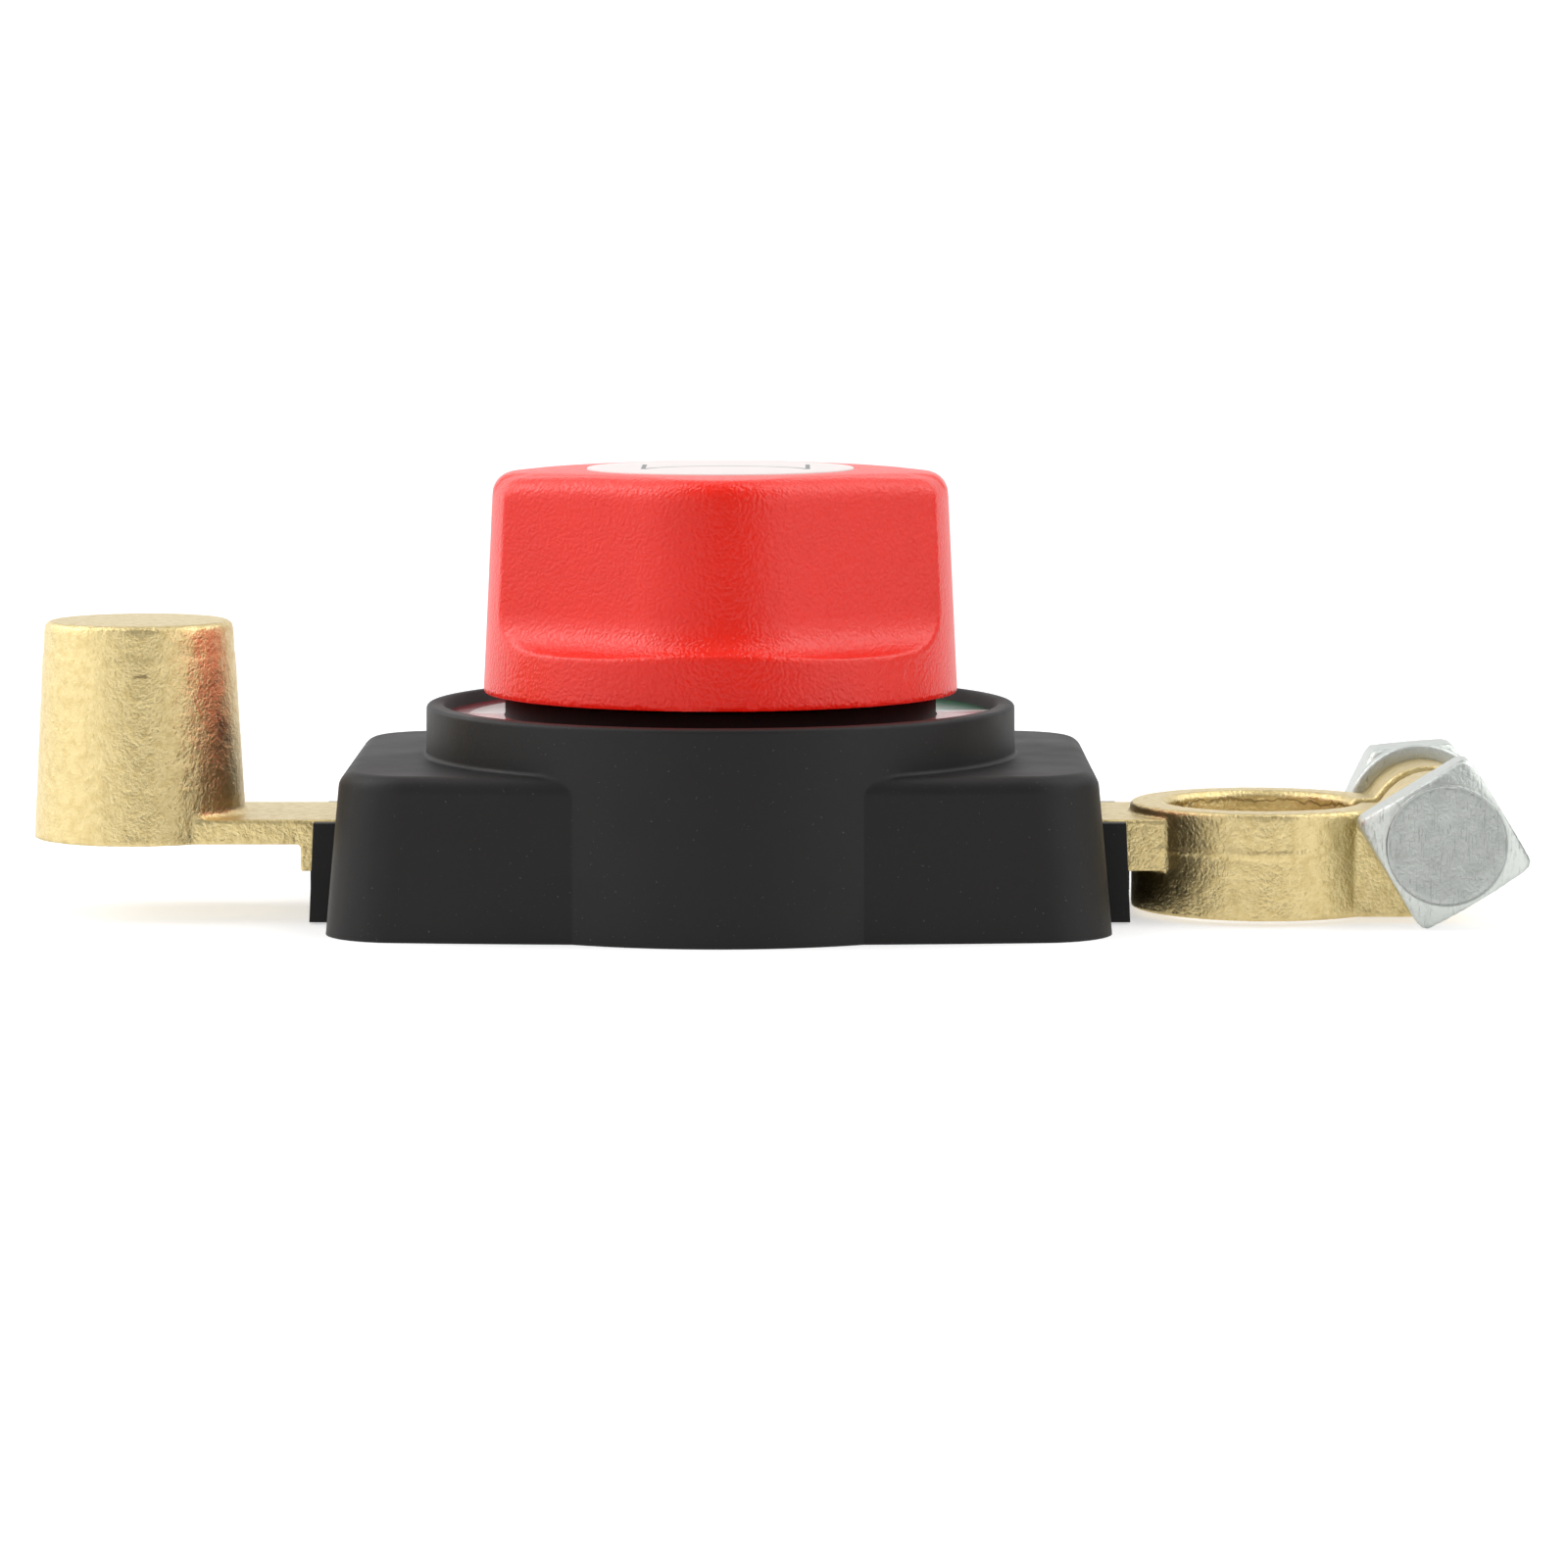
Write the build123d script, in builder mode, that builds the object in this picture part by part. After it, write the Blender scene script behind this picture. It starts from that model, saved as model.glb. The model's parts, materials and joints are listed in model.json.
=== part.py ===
from build123d import *
import os
from math import cos, radians, sin, tan

os.makedirs("parts", exist_ok=True)

# Battery disconnect switch for a top-post battery, in millimetres.
# The origin is where the spindle axis meets the underside of the housing.
# +X points to the battery clamp, -X to the cable post, +Z up along the spindle.

# Housing block and round collar
housing_length = 71.4
housing_depth = 44.8
housing_bow = 2.2
housing_corner = 7.0
housing_end_draft = 5.3
housing_side_draft = 0.7
shoulder_height = 14.9
shoulder_edge = 1.6
housing_wall = 2.3
collar_draft = 0.7
collar_lip = 1.5
collar_lip_height = 1.3
collar_edge = 0.4
collar_root_fillet = 0.4
dial_width = 5.8
dial_depth = 2.0
dial_thickness = 0.25
dial_gap = 0.1
hub_radius = 8.2
hub_rise = 5.1

# Base plate with a cradle at each end
plate_thickness = 3.0
plate_clearance = 0.2
cradle_projection = 2.0
cradle_length = 6.6
cradle_draft = 2.5
cradle_width = 20.0
cradle_lift = 0.2
cradle_drop = 0.15
slot_clearance = 0.3
pivot_boss_radius = 5.5
pivot_boss_height = 8.2

# Brass terminals
tab_width = 16.0
tab_seat = 4.7
tab_thickness = 4.75
tab_inner_end = 9.0
tab_edge = 0.25
tab_side_clearance = 0.15
thin_tab_thickness = 2.3
thick_tab_projection = 0.9
post_stand_off = 16.4
post_top_radius = 8.75
post_height = 27.3
post_taper = 1 / 18
post_edge = 0.9
post_root_fillet = 0.8
ring_stand_off = 12.7
ring_radius = 12.2
ring_bottom = 0.5
ring_top = 10.4
ring_edge = 0.5
ring_bore_top_radius = 8.75
ring_bore_chamfer = 0.5
ear_root_fillet = 1.5
ear_heel_fillet = 1.5
split_width = 3.6

# Clamp ears and their square-head bolt
bolt_stand_off = 3.6
bolt_level = 7.8
ear_radius = 5.6
ear_span = 18.5
ear_bottom = 0.6
bolt_radius = 3.95
bolt_hole_radius = 4.25
bolt_head_width = 11.8
bolt_head_height = 5.3
bolt_head_corner = 0.8
bolt_head_turn = 31.5
bolt_tip_length = 2.8
bolt_tip_chamfer = 0.65
clamp_washer_radius = 6.9
clamp_washer_thickness = 1.6
clamp_nut_width = 13.0
clamp_nut_height = 6.5
clamp_nut_turn = 4.9
turned_share = 0.96
turned_slope = 60.0

# Knob
knob_gap = 0.4
knob_overhang = 2.0
knob_draft = 2.8
knob_flange_height = 4.5
knob_height = 20.7
knob_crown_drop = 0.5
grip_long_reach = 3.6
grip_short_reach = 1.4
grip_side_tip_radius = 6.5
grip_front_tip_radius = 10.0
grip_draft = 2.5
grip_floor_fillet = 3.2
grip_top_fillet = 2.0
grip_rib_angle = 45.0
knob_wall = 2.5
knob_roof = 3.5
socket_radius = 8.0
socket_gap = 0.6
socket_rib = 1.6
label_radius = 12.4
label_thickness = 0.35
label_proud = 0.1
label_clearance = 0.1

# Spindle and what it carries, from the contacts upwards
spindle_radius = 5.0
spindle_flat_width = 7.6
spindle_top_gap = 0.2
square_width = 6.5
square_clearance = 0.05
pivot_radius = 3.0
running_clearance = 0.05
end_clearance = 0.3
fit_clearance = 0.05
seal_wire_radius = 0.75
seal_groove_width = 1.8
contact_offset = 14.0
contact_radius = 4.2
contact_thickness = 0.6
contact_gap = 0.25
contact_rivet_radius = 1.5
contact_rivet_length = 3.4
tip_radius = 3.8
tip_thickness = 0.7
bridge_thickness = 2.0
bridge_margin = 1.2
bridge_width = 12.0
bridge_side_clearance = 0.15
carrier_lift = 0.2
carrier_clearance = 1.8
carrier_roof = 1.3
carrier_wall = 4.0
spring_room = 2.9
spring_inner_radius = 4.8
spring_width = 3.05
spring_clearance = 0.6
spring_sheet = 0.6
clip_radius = 5.4
clip_thickness = 0.8
clip_gap = 0.1
clip_neck_radius = 2.9
clip_mouth = 4.6
thrust_width = 4.6
thrust_thickness = 0.5

# Turn of the knob and its stops
knob_turn = 90.0
lug_angle = 225.0
lug_width = 4.0
lug_length = 3.5
lug_height = 2.7
stop_clearance = 0.9
stop_thickness = 2.2
stop_gap = 0.3

# Screws
base_screw_inset_x = 7.9
base_screw_inset_y = 6.8
base_screw_radius = 1.55
base_screw_length = 9.0
base_screw_head_radius = 3.4
base_screw_head_height = 1.4
screw_boss_radius = 3.6
terminal_screw_x = 25.0
terminal_screw_radius = 2.45
terminal_screw_length = 7.0
terminal_screw_head_radius = 4.2
terminal_screw_head_height = 1.9
knob_screw_radius = 2.45
knob_screw_length = 9.0
knob_screw_head_radius = 4.4
knob_screw_head_height = 1.8
knob_screw_washer_radius = 5.0
knob_screw_washer_thickness = 0.7
screw_land = 1.6
cross_width = 0.9
cross_depth = 0.9
head_clearance = 0.35
sunk_depth = 0.15

# Levels worked out from the sizes above, from the base plate upwards
tab_top = tab_seat + tab_thickness
tab_bottom = tab_top - thin_tab_thickness
cradle_height = tab_top - cradle_drop
contact_top = tab_top + contact_thickness
bridge_bottom = contact_top + contact_gap + tip_thickness
bridge_top = bridge_bottom + bridge_thickness
carrier_bottom = bridge_bottom + carrier_lift
pocket_top = bridge_top + spring_room
carrier_top = pocket_top + carrier_roof
cover_ceiling = carrier_top + end_clearance + thrust_thickness
boss_height = cover_ceiling + housing_wall
dial_level = boss_height - dial_depth
collar_height = dial_level + collar_lip_height
hub_height = boss_height + hub_rise
knob_bottom = boss_height + knob_gap
flange_top = knob_bottom + knob_flange_height
socket_bottom = hub_height + socket_gap
knob_top = knob_bottom + knob_height
knob_ceiling = knob_top - knob_roof
label_seat = knob_top + label_proud - label_thickness
head_seat = label_seat - head_clearance - knob_screw_head_height
screw_seat = head_seat - knob_screw_washer_thickness
spindle_top = screw_seat - screw_land

# Places worked out from the sides of the housing
cradle_reach = housing_length / 2 + cradle_projection
thick_tab_end = cradle_reach + thick_tab_projection
post_offset = cradle_reach + post_stand_off
ring_offset = cradle_reach + ring_stand_off
bolt_offset = ring_offset + ring_radius + bolt_stand_off
base_screw_x = housing_length / 2 - base_screw_inset_x
base_screw_y = housing_depth / 2 - base_screw_inset_y

# Radii worked out from the spring outwards to the collar
spring_outer_radius = spring_inner_radius + spring_width
spring_pocket_radius = spring_outer_radius + spring_clearance
carrier_radius = spring_pocket_radius + carrier_wall
stop_inner_radius = carrier_radius + stop_clearance
lug_reach = carrier_radius + lug_length
boss_cavity_radius = lug_reach + carrier_clearance
boss_radius = boss_cavity_radius + housing_wall
dial_seat_radius = boss_radius + dial_width
collar_top_radius = dial_seat_radius + collar_lip
collar_radius = collar_top_radius + collar_height * tan(radians(collar_draft))
cavity_radius = collar_radius - housing_wall
bridge_length = 2 * (contact_offset + tip_radius + bridge_margin)
spindle_bore = spindle_radius + running_clearance
thrust_inner_radius = spindle_bore + end_clearance
knob_flange_radius = boss_radius + knob_overhang
knob_rim_radius = knob_flange_radius - knob_height * tan(radians(knob_draft))
grip_long = knob_flange_radius + grip_long_reach
grip_short = knob_flange_radius + grip_short_reach
square_hole = square_width + 2 * square_clearance


def block_plan(inset, level=0.0):
    """Plan of the drafted housing block at a level, its long sides bowed, moved in by inset."""
    half_length = housing_length / 2 - inset - level * tan(radians(housing_end_draft))
    half_depth = housing_depth / 2 - inset - level * tan(radians(housing_side_draft))
    with BuildSketch() as plan:
        with BuildLine():
            ThreePointArc(
                (-half_length, -half_depth), (0, -half_depth - housing_bow), (half_length, -half_depth)
            )
            Line((half_length, -half_depth), (half_length, half_depth))
            ThreePointArc(
                (half_length, half_depth), (0, half_depth + housing_bow), (-half_length, half_depth)
            )
            Line((-half_length, half_depth), (-half_length, -half_depth))
        make_face()
        fillet(plan.vertices(), housing_corner - inset)
    return plan.sketch


def rhombus(half_x, half_y, side_tip_radius, front_tip_radius):
    """Plan of the finger grip: a rhombus with its side tips and its front and back tips rounded."""
    with BuildSketch() as plan:
        with BuildLine():
            Polyline((half_x, 0), (0, half_y), (-half_x, 0), (0, -half_y), close=True)
        make_face()
        fillet(plan.vertices().group_by(Axis.X)[0], side_tip_radius)
        fillet(plan.vertices().group_by(Axis.X)[-1], side_tip_radius)
        fillet(plan.vertices().group_by(Axis.Y)[0], front_tip_radius)
        fillet(plan.vertices().group_by(Axis.Y)[-1], front_tip_radius)
    return plan.sketch


def cross_recess(arm_length):
    """Plan of the cross recess in a screw head."""
    with BuildSketch() as plan:
        Rectangle(arm_length, cross_width)
        Rectangle(cross_width, arm_length)
    return plan.sketch


# Housing cover: drafted block and collar moulded as one open shell
with BuildPart() as housing_cover:
    with BuildSketch():
        add(block_plan(0))
    with BuildSketch(Plane.XY.offset(shoulder_height)):
        add(block_plan(0, shoulder_height))
    loft(ruled=True)
    fillet(housing_cover.faces().sort_by(Axis.Z)[-1].edges(), shoulder_edge)
    with BuildSketch():
        Circle(collar_radius)
    extrude(amount=collar_height, taper=collar_draft)
    fillet(housing_cover.faces().sort_by(Axis.Z)[-1].edges(), collar_edge)
    collar_root = housing_cover.edges().filter_by(GeomType.CIRCLE)
    fillet(collar_root.filter_by_position(Axis.Z, shoulder_height, shoulder_height), collar_root_fillet)
    # Raised boss with the dial's ring-shaped seat around it
    with BuildSketch(Plane.XY.offset(dial_level)):
        Circle(dial_seat_radius)
    extrude(amount=boss_height, mode=Mode.SUBTRACT)
    with BuildSketch(Plane.XY.offset(dial_level)):
        Circle(boss_radius)
    extrude(amount=boss_height - dial_level)
    # Inside of the shell, from the open bottom
    block_ceiling = shoulder_height - housing_wall
    with BuildSketch():
        add(block_plan(housing_wall))
    with BuildSketch(Plane.XY.offset(block_ceiling)):
        add(block_plan(housing_wall, block_ceiling))
    loft(ruled=True, mode=Mode.SUBTRACT)
    with BuildSketch():
        Circle(cavity_radius)
    extrude(amount=dial_level - housing_wall, taper=collar_draft, mode=Mode.SUBTRACT)
    with BuildSketch():
        Circle(boss_cavity_radius)
    extrude(amount=cover_ceiling, mode=Mode.SUBTRACT)
    # Bearing hub for the spindle
    with BuildSketch(Plane.XY.offset(cover_ceiling)):
        Circle(hub_radius)
    extrude(amount=hub_height - cover_ceiling)
    with Locations((0, 0, hub_height)):
        Hole(spindle_bore, depth=hub_height - cover_ceiling)
    # Open ends where the cradles and terminals come out
    with BuildSketch(Plane.YZ):
        with Locations((0, (cradle_height + slot_clearance) / 2)):
            Rectangle(cradle_width + 2 * slot_clearance, cradle_height + slot_clearance)
    extrude(amount=housing_length, both=True, mode=Mode.SUBTRACT)
    # Screw bosses in the four corners
    with BuildSketch(Plane.XY.offset(plate_thickness)):
        with GridLocations(2 * base_screw_x, 2 * base_screw_y, 2, 2):
            Circle(screw_boss_radius)
            Circle(base_screw_radius + fit_clearance, mode=Mode.SUBTRACT)
    extrude(amount=block_ceiling - plate_thickness)
    # Two stops that end the turn of the carrier's lug
    lug_center_radius = (stop_inner_radius + lug_reach) / 2
    stop_shift = (lug_width / 2 + stop_gap + stop_thickness / 2) / lug_center_radius
    stop_length = boss_radius - housing_wall / 2 - stop_inner_radius
    with BuildSketch(Plane.XY.offset(carrier_top - lug_height)):
        for turn, side in ((0, -1), (knob_turn, 1)):
            stop_angle = radians(lug_angle + turn) + side * stop_shift
            stop_center = stop_inner_radius + stop_length / 2
            stop_place = (stop_center * cos(stop_angle), stop_center * sin(stop_angle))
            with Locations(stop_place):
                Rectangle(stop_length, stop_thickness, rotation=lug_angle + turn)
    extrude(amount=cover_ceiling - carrier_top + lug_height)

# Base plate: closes the shell and cradles both terminals
with BuildPart() as base_plate:
    plate_inset = housing_wall + plate_clearance
    with BuildSketch():
        add(block_plan(plate_inset))
    with BuildSketch(Plane.XY.offset(plate_thickness)):
        add(block_plan(plate_inset, plate_thickness))
    loft(ruled=True)
    with BuildSketch():
        Circle(cavity_radius - plate_clearance)
    extrude(amount=plate_thickness, taper=collar_draft)
    cradle_middle = cradle_reach - cradle_length / 2
    with BuildSketch(Plane.XY.offset(cradle_lift)):
        with Locations((cradle_middle, 0), (-cradle_middle, 0)):
            Rectangle(cradle_length, cradle_width)
    extrude(amount=cradle_height - cradle_lift, taper=cradle_draft)
    # Raised seats under the tabs, level with the cradle floors
    channel_width = tab_width + 2 * tab_side_clearance
    seat_length = cradle_reach - tab_inner_end
    seat_middle = tab_inner_end + seat_length / 2
    with BuildSketch(Plane.XY.offset(plate_thickness)):
        with Locations((seat_middle, 0), (-seat_middle, 0)):
            Rectangle(seat_length, channel_width)
    extrude(amount=tab_seat - plate_thickness)
    with BuildSketch(Plane.XY.offset(tab_seat)):
        with Locations((seat_middle, 0), (-seat_middle, 0)):
            Rectangle(seat_length, channel_width)
    extrude(amount=tab_top, mode=Mode.SUBTRACT)
    # Pivot bearing for the lower end of the spindle
    with BuildSketch(Plane.XY.offset(plate_thickness)):
        Circle(pivot_boss_radius)
        Circle(pivot_radius + running_clearance, mode=Mode.SUBTRACT)
    extrude(amount=pivot_boss_height - plate_thickness)
    # Counterbored screw holes from below
    underside = Plane(origin=(0, 0, 0), x_dir=(1, 0, 0), z_dir=(0, 0, -1))
    with Locations(underside):
        with GridLocations(2 * base_screw_x, 2 * base_screw_y, 2, 2):
            CounterBoreHole(
                base_screw_radius + head_clearance,
                base_screw_head_radius + head_clearance,
                base_screw_head_height + sunk_depth,
            )
        with GridLocations(2 * terminal_screw_x, 0, 2, 1):
            CounterBoreHole(
                terminal_screw_radius + head_clearance,
                terminal_screw_head_radius + head_clearance,
                terminal_screw_head_height + sunk_depth,
            )

# Screws that hold the base plate to the cover
with BuildPart() as base_screws:
    with BuildSketch(Plane.XY.offset(sunk_depth)):
        with GridLocations(2 * base_screw_x, 2 * base_screw_y, 2, 2):
            Circle(base_screw_head_radius)
    extrude(amount=base_screw_head_height)
    with BuildSketch(Plane.XY.offset(sunk_depth + base_screw_head_height)):
        with GridLocations(2 * base_screw_x, 2 * base_screw_y, 2, 2):
            Circle(base_screw_radius)
    extrude(amount=base_screw_length)
    with BuildSketch(Plane.XY.offset(sunk_depth)):
        with GridLocations(2 * base_screw_x, 2 * base_screw_y, 2, 2):
            add(cross_recess(base_screw_head_radius))
    extrude(amount=cross_depth, mode=Mode.SUBTRACT)

# Screws that hold the terminals down on the base plate
with BuildPart() as terminal_screws:
    with BuildSketch(Plane.XY.offset(sunk_depth)):
        with GridLocations(2 * terminal_screw_x, 0, 2, 1):
            Circle(terminal_screw_head_radius)
    extrude(amount=terminal_screw_head_height)
    with BuildSketch(Plane.XY.offset(sunk_depth + terminal_screw_head_height)):
        with GridLocations(2 * terminal_screw_x, 0, 2, 1):
            Circle(terminal_screw_radius)
    extrude(amount=terminal_screw_length)
    with BuildSketch(Plane.XY.offset(sunk_depth)):
        with GridLocations(2 * terminal_screw_x, 0, 2, 1):
            add(cross_recess(terminal_screw_head_radius))
    extrude(amount=cross_depth, mode=Mode.SUBTRACT)

# Printed dial ring in its seat around the boss
with BuildPart() as dial_label:
    with BuildSketch(Plane.XY.offset(dial_level)):
        Circle(dial_seat_radius - dial_gap)
        Circle(boss_radius + dial_gap, mode=Mode.SUBTRACT)
    extrude(amount=dial_thickness)

# Post terminal: forged tab with the tapered battery post on its outer end
with BuildPart() as post_terminal:
    thin_length = post_offset - tab_inner_end
    with BuildSketch(Plane.XY.offset(tab_bottom)):
        with Locations((-tab_inner_end - thin_length / 2, 0)):
            Rectangle(thin_length, tab_width)
    extrude(amount=thin_tab_thickness)
    thick_length = thick_tab_end - tab_inner_end
    with BuildSketch(Plane.XY.offset(tab_seat)):
        with Locations((-tab_inner_end - thick_length / 2, 0)):
            Rectangle(thick_length, tab_width)
    extrude(amount=tab_top - tab_seat)
    fillet(post_terminal.edges().filter_by(Axis.X).sort_by(Axis.Z)[-2:], tab_edge)
    # The post grows downwards by one in nine of its height
    post_bottom_radius = post_top_radius + (post_height - tab_bottom) * post_taper
    with BuildSketch(Plane.XZ):
        with BuildLine():
            Polyline(
                (-post_offset, tab_bottom),
                (-post_offset - post_bottom_radius, tab_bottom),
                (-post_offset - post_top_radius, post_height),
                (-post_offset, post_height),
                close=True,
            )
        make_face()
    revolve(axis=Axis((-post_offset, 0, 0), (0, 0, 1)))
    fillet(post_terminal.faces().sort_by(Axis.Z)[-1].edges(), post_edge)
    tab_face = post_terminal.faces().filter_by(Axis.Z).sort_by(Axis.Z)[-2]
    fillet(tab_face.edges().filter_by(GeomType.CIRCLE), post_root_fillet)
    # Threaded hole for its screw and blind hole for the contact rivet
    with Locations((-terminal_screw_x, 0, tab_top)):
        Hole(terminal_screw_radius + fit_clearance, depth=tab_top - tab_seat)
    with Locations((-contact_offset, 0, tab_top)):
        Hole(contact_rivet_radius + fit_clearance, depth=contact_rivet_length + fit_clearance)

# Clamp terminal: forged tab, split tapered ring and two bolt ears
with BuildPart() as clamp_terminal:
    clamp_tab_length = ring_offset - tab_inner_end
    with BuildSketch(Plane.XY.offset(tab_seat)):
        with Locations((tab_inner_end + clamp_tab_length / 2, 0)):
            Rectangle(clamp_tab_length, tab_width)
    extrude(amount=tab_top - tab_seat)
    fillet(clamp_terminal.edges().filter_by(Axis.X).sort_by(Axis.Z)[-2:], tab_edge)
    with BuildSketch(Plane.XY.offset(ring_bottom)):
        with Locations((ring_offset, 0)):
            Circle(ring_radius)
    extrude(amount=ring_top - ring_bottom)
    fillet(clamp_terminal.faces().sort_by(Axis.Z)[-1].edges(), ring_edge)
    fillet(clamp_terminal.faces().sort_by(Axis.Z)[0].edges(), ring_edge)
    # Ears: round barrels about the bolt on flat-bottomed lugs
    ear_root = ring_offset + ring_radius / 3
    with BuildSketch(Plane.XZ) as ear_plan:
        with Locations((bolt_offset, bolt_level)):
            Circle(ear_radius)
        with Locations((ear_root, ear_bottom)):
            Rectangle(
                bolt_offset - ear_root,
                ring_top - ear_bottom - ring_edge / 2,
                align=(Align.MIN, Align.MIN),
            )
        ear_heel = ear_plan.vertices().group_by(Axis.Y)[0].sort_by(Axis.X)[-1]
        fillet(ear_heel, ear_heel_fillet)
        fillet(ear_plan.vertices().group_by(Axis.Y)[-1], ear_root_fillet)
    extrude(amount=ear_span / 2, both=True)
    # Tapered bore for the battery post, open to the split between the ears
    ring_height = ring_top - ring_bottom
    bore_bottom_radius = ring_bore_top_radius + ring_height * post_taper
    with BuildSketch(Plane.XZ):
        with BuildLine():
            Polyline(
                (ring_offset, ring_bottom),
                (ring_offset + bore_bottom_radius, ring_bottom),
                (ring_offset + ring_bore_top_radius, ring_top - ring_bore_chamfer),
                (ring_offset + ring_bore_top_radius + ring_bore_chamfer, ring_top),
                (ring_offset, ring_top),
                close=True,
            )
        make_face()
    revolve(axis=Axis((ring_offset, 0, 0), (0, 0, 1)), mode=Mode.SUBTRACT)
    with BuildSketch():
        with Locations((ring_offset, 0)):
            Rectangle(ring_radius * 3, split_width, align=(Align.MIN, Align.CENTER))
    extrude(amount=2 * ring_top, mode=Mode.SUBTRACT)
    with BuildSketch(Plane.XZ):
        with Locations((bolt_offset, bolt_level)):
            Circle(bolt_hole_radius)
    extrude(amount=ear_span, both=True, mode=Mode.SUBTRACT)
    with Locations((terminal_screw_x, 0, tab_top)):
        Hole(terminal_screw_radius + fit_clearance, depth=tab_top - tab_seat)
    with Locations((contact_offset, 0, tab_top)):
        Hole(contact_rivet_radius + fit_clearance, depth=contact_rivet_length + fit_clearance)

# Clamp bolt: square head in front of the near ear, threaded end behind the nut
near_ear = Plane.XZ.offset(ear_span / 2)
far_ear = Plane.XZ.offset(-ear_span / 2)
with BuildPart() as clamp_bolt:
    with BuildSketch(near_ear):
        with Locations((bolt_offset, bolt_level)):
            RectangleRounded(
                bolt_head_width, bolt_head_width, bolt_head_corner, rotation=bolt_head_turn
            )
    extrude(amount=bolt_head_height)
    # The head's front corners are turned off by a cone
    head_front = ear_span / 2 + bolt_head_height
    face_radius = bolt_head_width / 2 * turned_share
    cone_swell = bolt_head_height * tan(radians(turned_slope))
    with BuildSketch(Plane.XY.offset(bolt_level)):
        with BuildLine():
            Polyline(
                (bolt_offset, -head_front),
                (bolt_offset + face_radius, -head_front),
                (bolt_offset + face_radius + cone_swell, -ear_span / 2),
                (bolt_offset, -ear_span / 2),
                close=True,
            )
        make_face()
    revolve(axis=Axis((bolt_offset, 0, bolt_level), (0, 1, 0)), mode=Mode.INTERSECT)
    with BuildSketch(near_ear):
        with Locations((bolt_offset, bolt_level)):
            Circle(bolt_radius)
    bolt_length = ear_span + clamp_washer_thickness + clamp_nut_height + bolt_tip_length
    extrude(amount=-bolt_length)
    chamfer(clamp_bolt.faces().sort_by(Axis.Y)[-1].edges(), bolt_tip_chamfer)

# Washer and nut behind the far ear
with BuildPart() as clamp_washer:
    with BuildSketch(far_ear):
        with Locations((bolt_offset, bolt_level)):
            Circle(clamp_washer_radius)
            Circle(bolt_hole_radius, mode=Mode.SUBTRACT)
    extrude(amount=-clamp_washer_thickness)

nut_seat = Plane.XZ.offset(-ear_span / 2 - clamp_washer_thickness)
with BuildPart() as clamp_nut:
    with BuildSketch(nut_seat):
        with Locations((bolt_offset, bolt_level)):
            RegularPolygon(clamp_nut_width / 2, 6, major_radius=False, rotation=clamp_nut_turn)
    extrude(amount=-clamp_nut_height)
    # Both ends of the nut are turned off by cones
    nut_front = ear_span / 2 + clamp_washer_thickness
    nut_back = nut_front + clamp_nut_height
    nut_bore = bolt_radius + fit_clearance
    nut_face_radius = clamp_nut_width / 2 * turned_share
    nut_swell = clamp_nut_height / 2 * tan(radians(turned_slope))
    with BuildSketch(Plane.XY.offset(bolt_level)):
        with BuildLine():
            Polyline(
                (bolt_offset + nut_bore, nut_front),
                (bolt_offset + nut_face_radius, nut_front),
                (bolt_offset + nut_face_radius + nut_swell, (nut_front + nut_back) / 2),
                (bolt_offset + nut_face_radius, nut_back),
                (bolt_offset + nut_bore, nut_back),
                close=True,
            )
        make_face()
    revolve(axis=Axis((bolt_offset, 0, bolt_level), (0, 1, 0)), mode=Mode.INTERSECT)

# Fixed contacts: silver-faced rivets on the inner ends of the terminals
fixed_contacts = {}
for contact_name, side in (("post_contact", -1), ("clamp_contact", 1)):
    with BuildPart() as fixed_contact:
        with BuildSketch(Plane.XY.offset(tab_top)):
            with Locations((side * contact_offset, 0)):
                Circle(contact_radius)
        extrude(amount=contact_thickness)
        with BuildSketch(Plane.XY.offset(tab_top)):
            with Locations((side * contact_offset, 0)):
                Circle(contact_rivet_radius)
        extrude(amount=-contact_rivet_length)
    fixed_contacts[contact_name] = fixed_contact.part

# Thrust washer between the carrier and the cover
with BuildPart() as thrust_washer:
    with BuildSketch(Plane.XY.offset(cover_ceiling)):
        Circle(thrust_inner_radius + thrust_width)
        Circle(thrust_inner_radius, mode=Mode.SUBTRACT)
    extrude(amount=-thrust_thickness)

# Knob: drafted round flange with a rhombic finger grip, hollow underneath
with BuildPart() as grip_form:
    with BuildSketch(Plane.XY.offset(flange_top)):
        add(rhombus(grip_long, grip_short, grip_side_tip_radius, grip_front_tip_radius))
    extrude(amount=knob_top - flange_top, taper=grip_draft)
    floor_radius = 2 * knob_flange_radius
    with BuildSketch(Plane.XY.offset(knob_bottom)):
        Circle(floor_radius)
    extrude(amount=knob_flange_height)
    grip_floor = grip_form.faces().filter_by(Axis.Z).sort_by(Axis.Z)[1]
    fillet(grip_floor.inner_wires().edges(), grip_floor_fillet)

# Hollow inside the grip, a wall's thickness from its flanks and from the knob's cone
with BuildPart() as grip_hollow:
    flank_shrink = knob_wall / sin(radians(grip_rib_angle))
    with BuildSketch(Plane.XY.offset(knob_bottom)):
        add(
            rhombus(
                grip_long - flank_shrink,
                grip_short - flank_shrink,
                grip_side_tip_radius - knob_wall,
                grip_front_tip_radius - knob_wall,
            )
        )
    extrude(amount=knob_ceiling - knob_bottom, taper=grip_draft)
    with BuildSketch(Plane.XY.offset(knob_bottom)):
        Circle(knob_flange_radius - knob_wall)
    extrude(amount=knob_ceiling - knob_bottom, taper=knob_draft, mode=Mode.INTERSECT)

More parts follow.
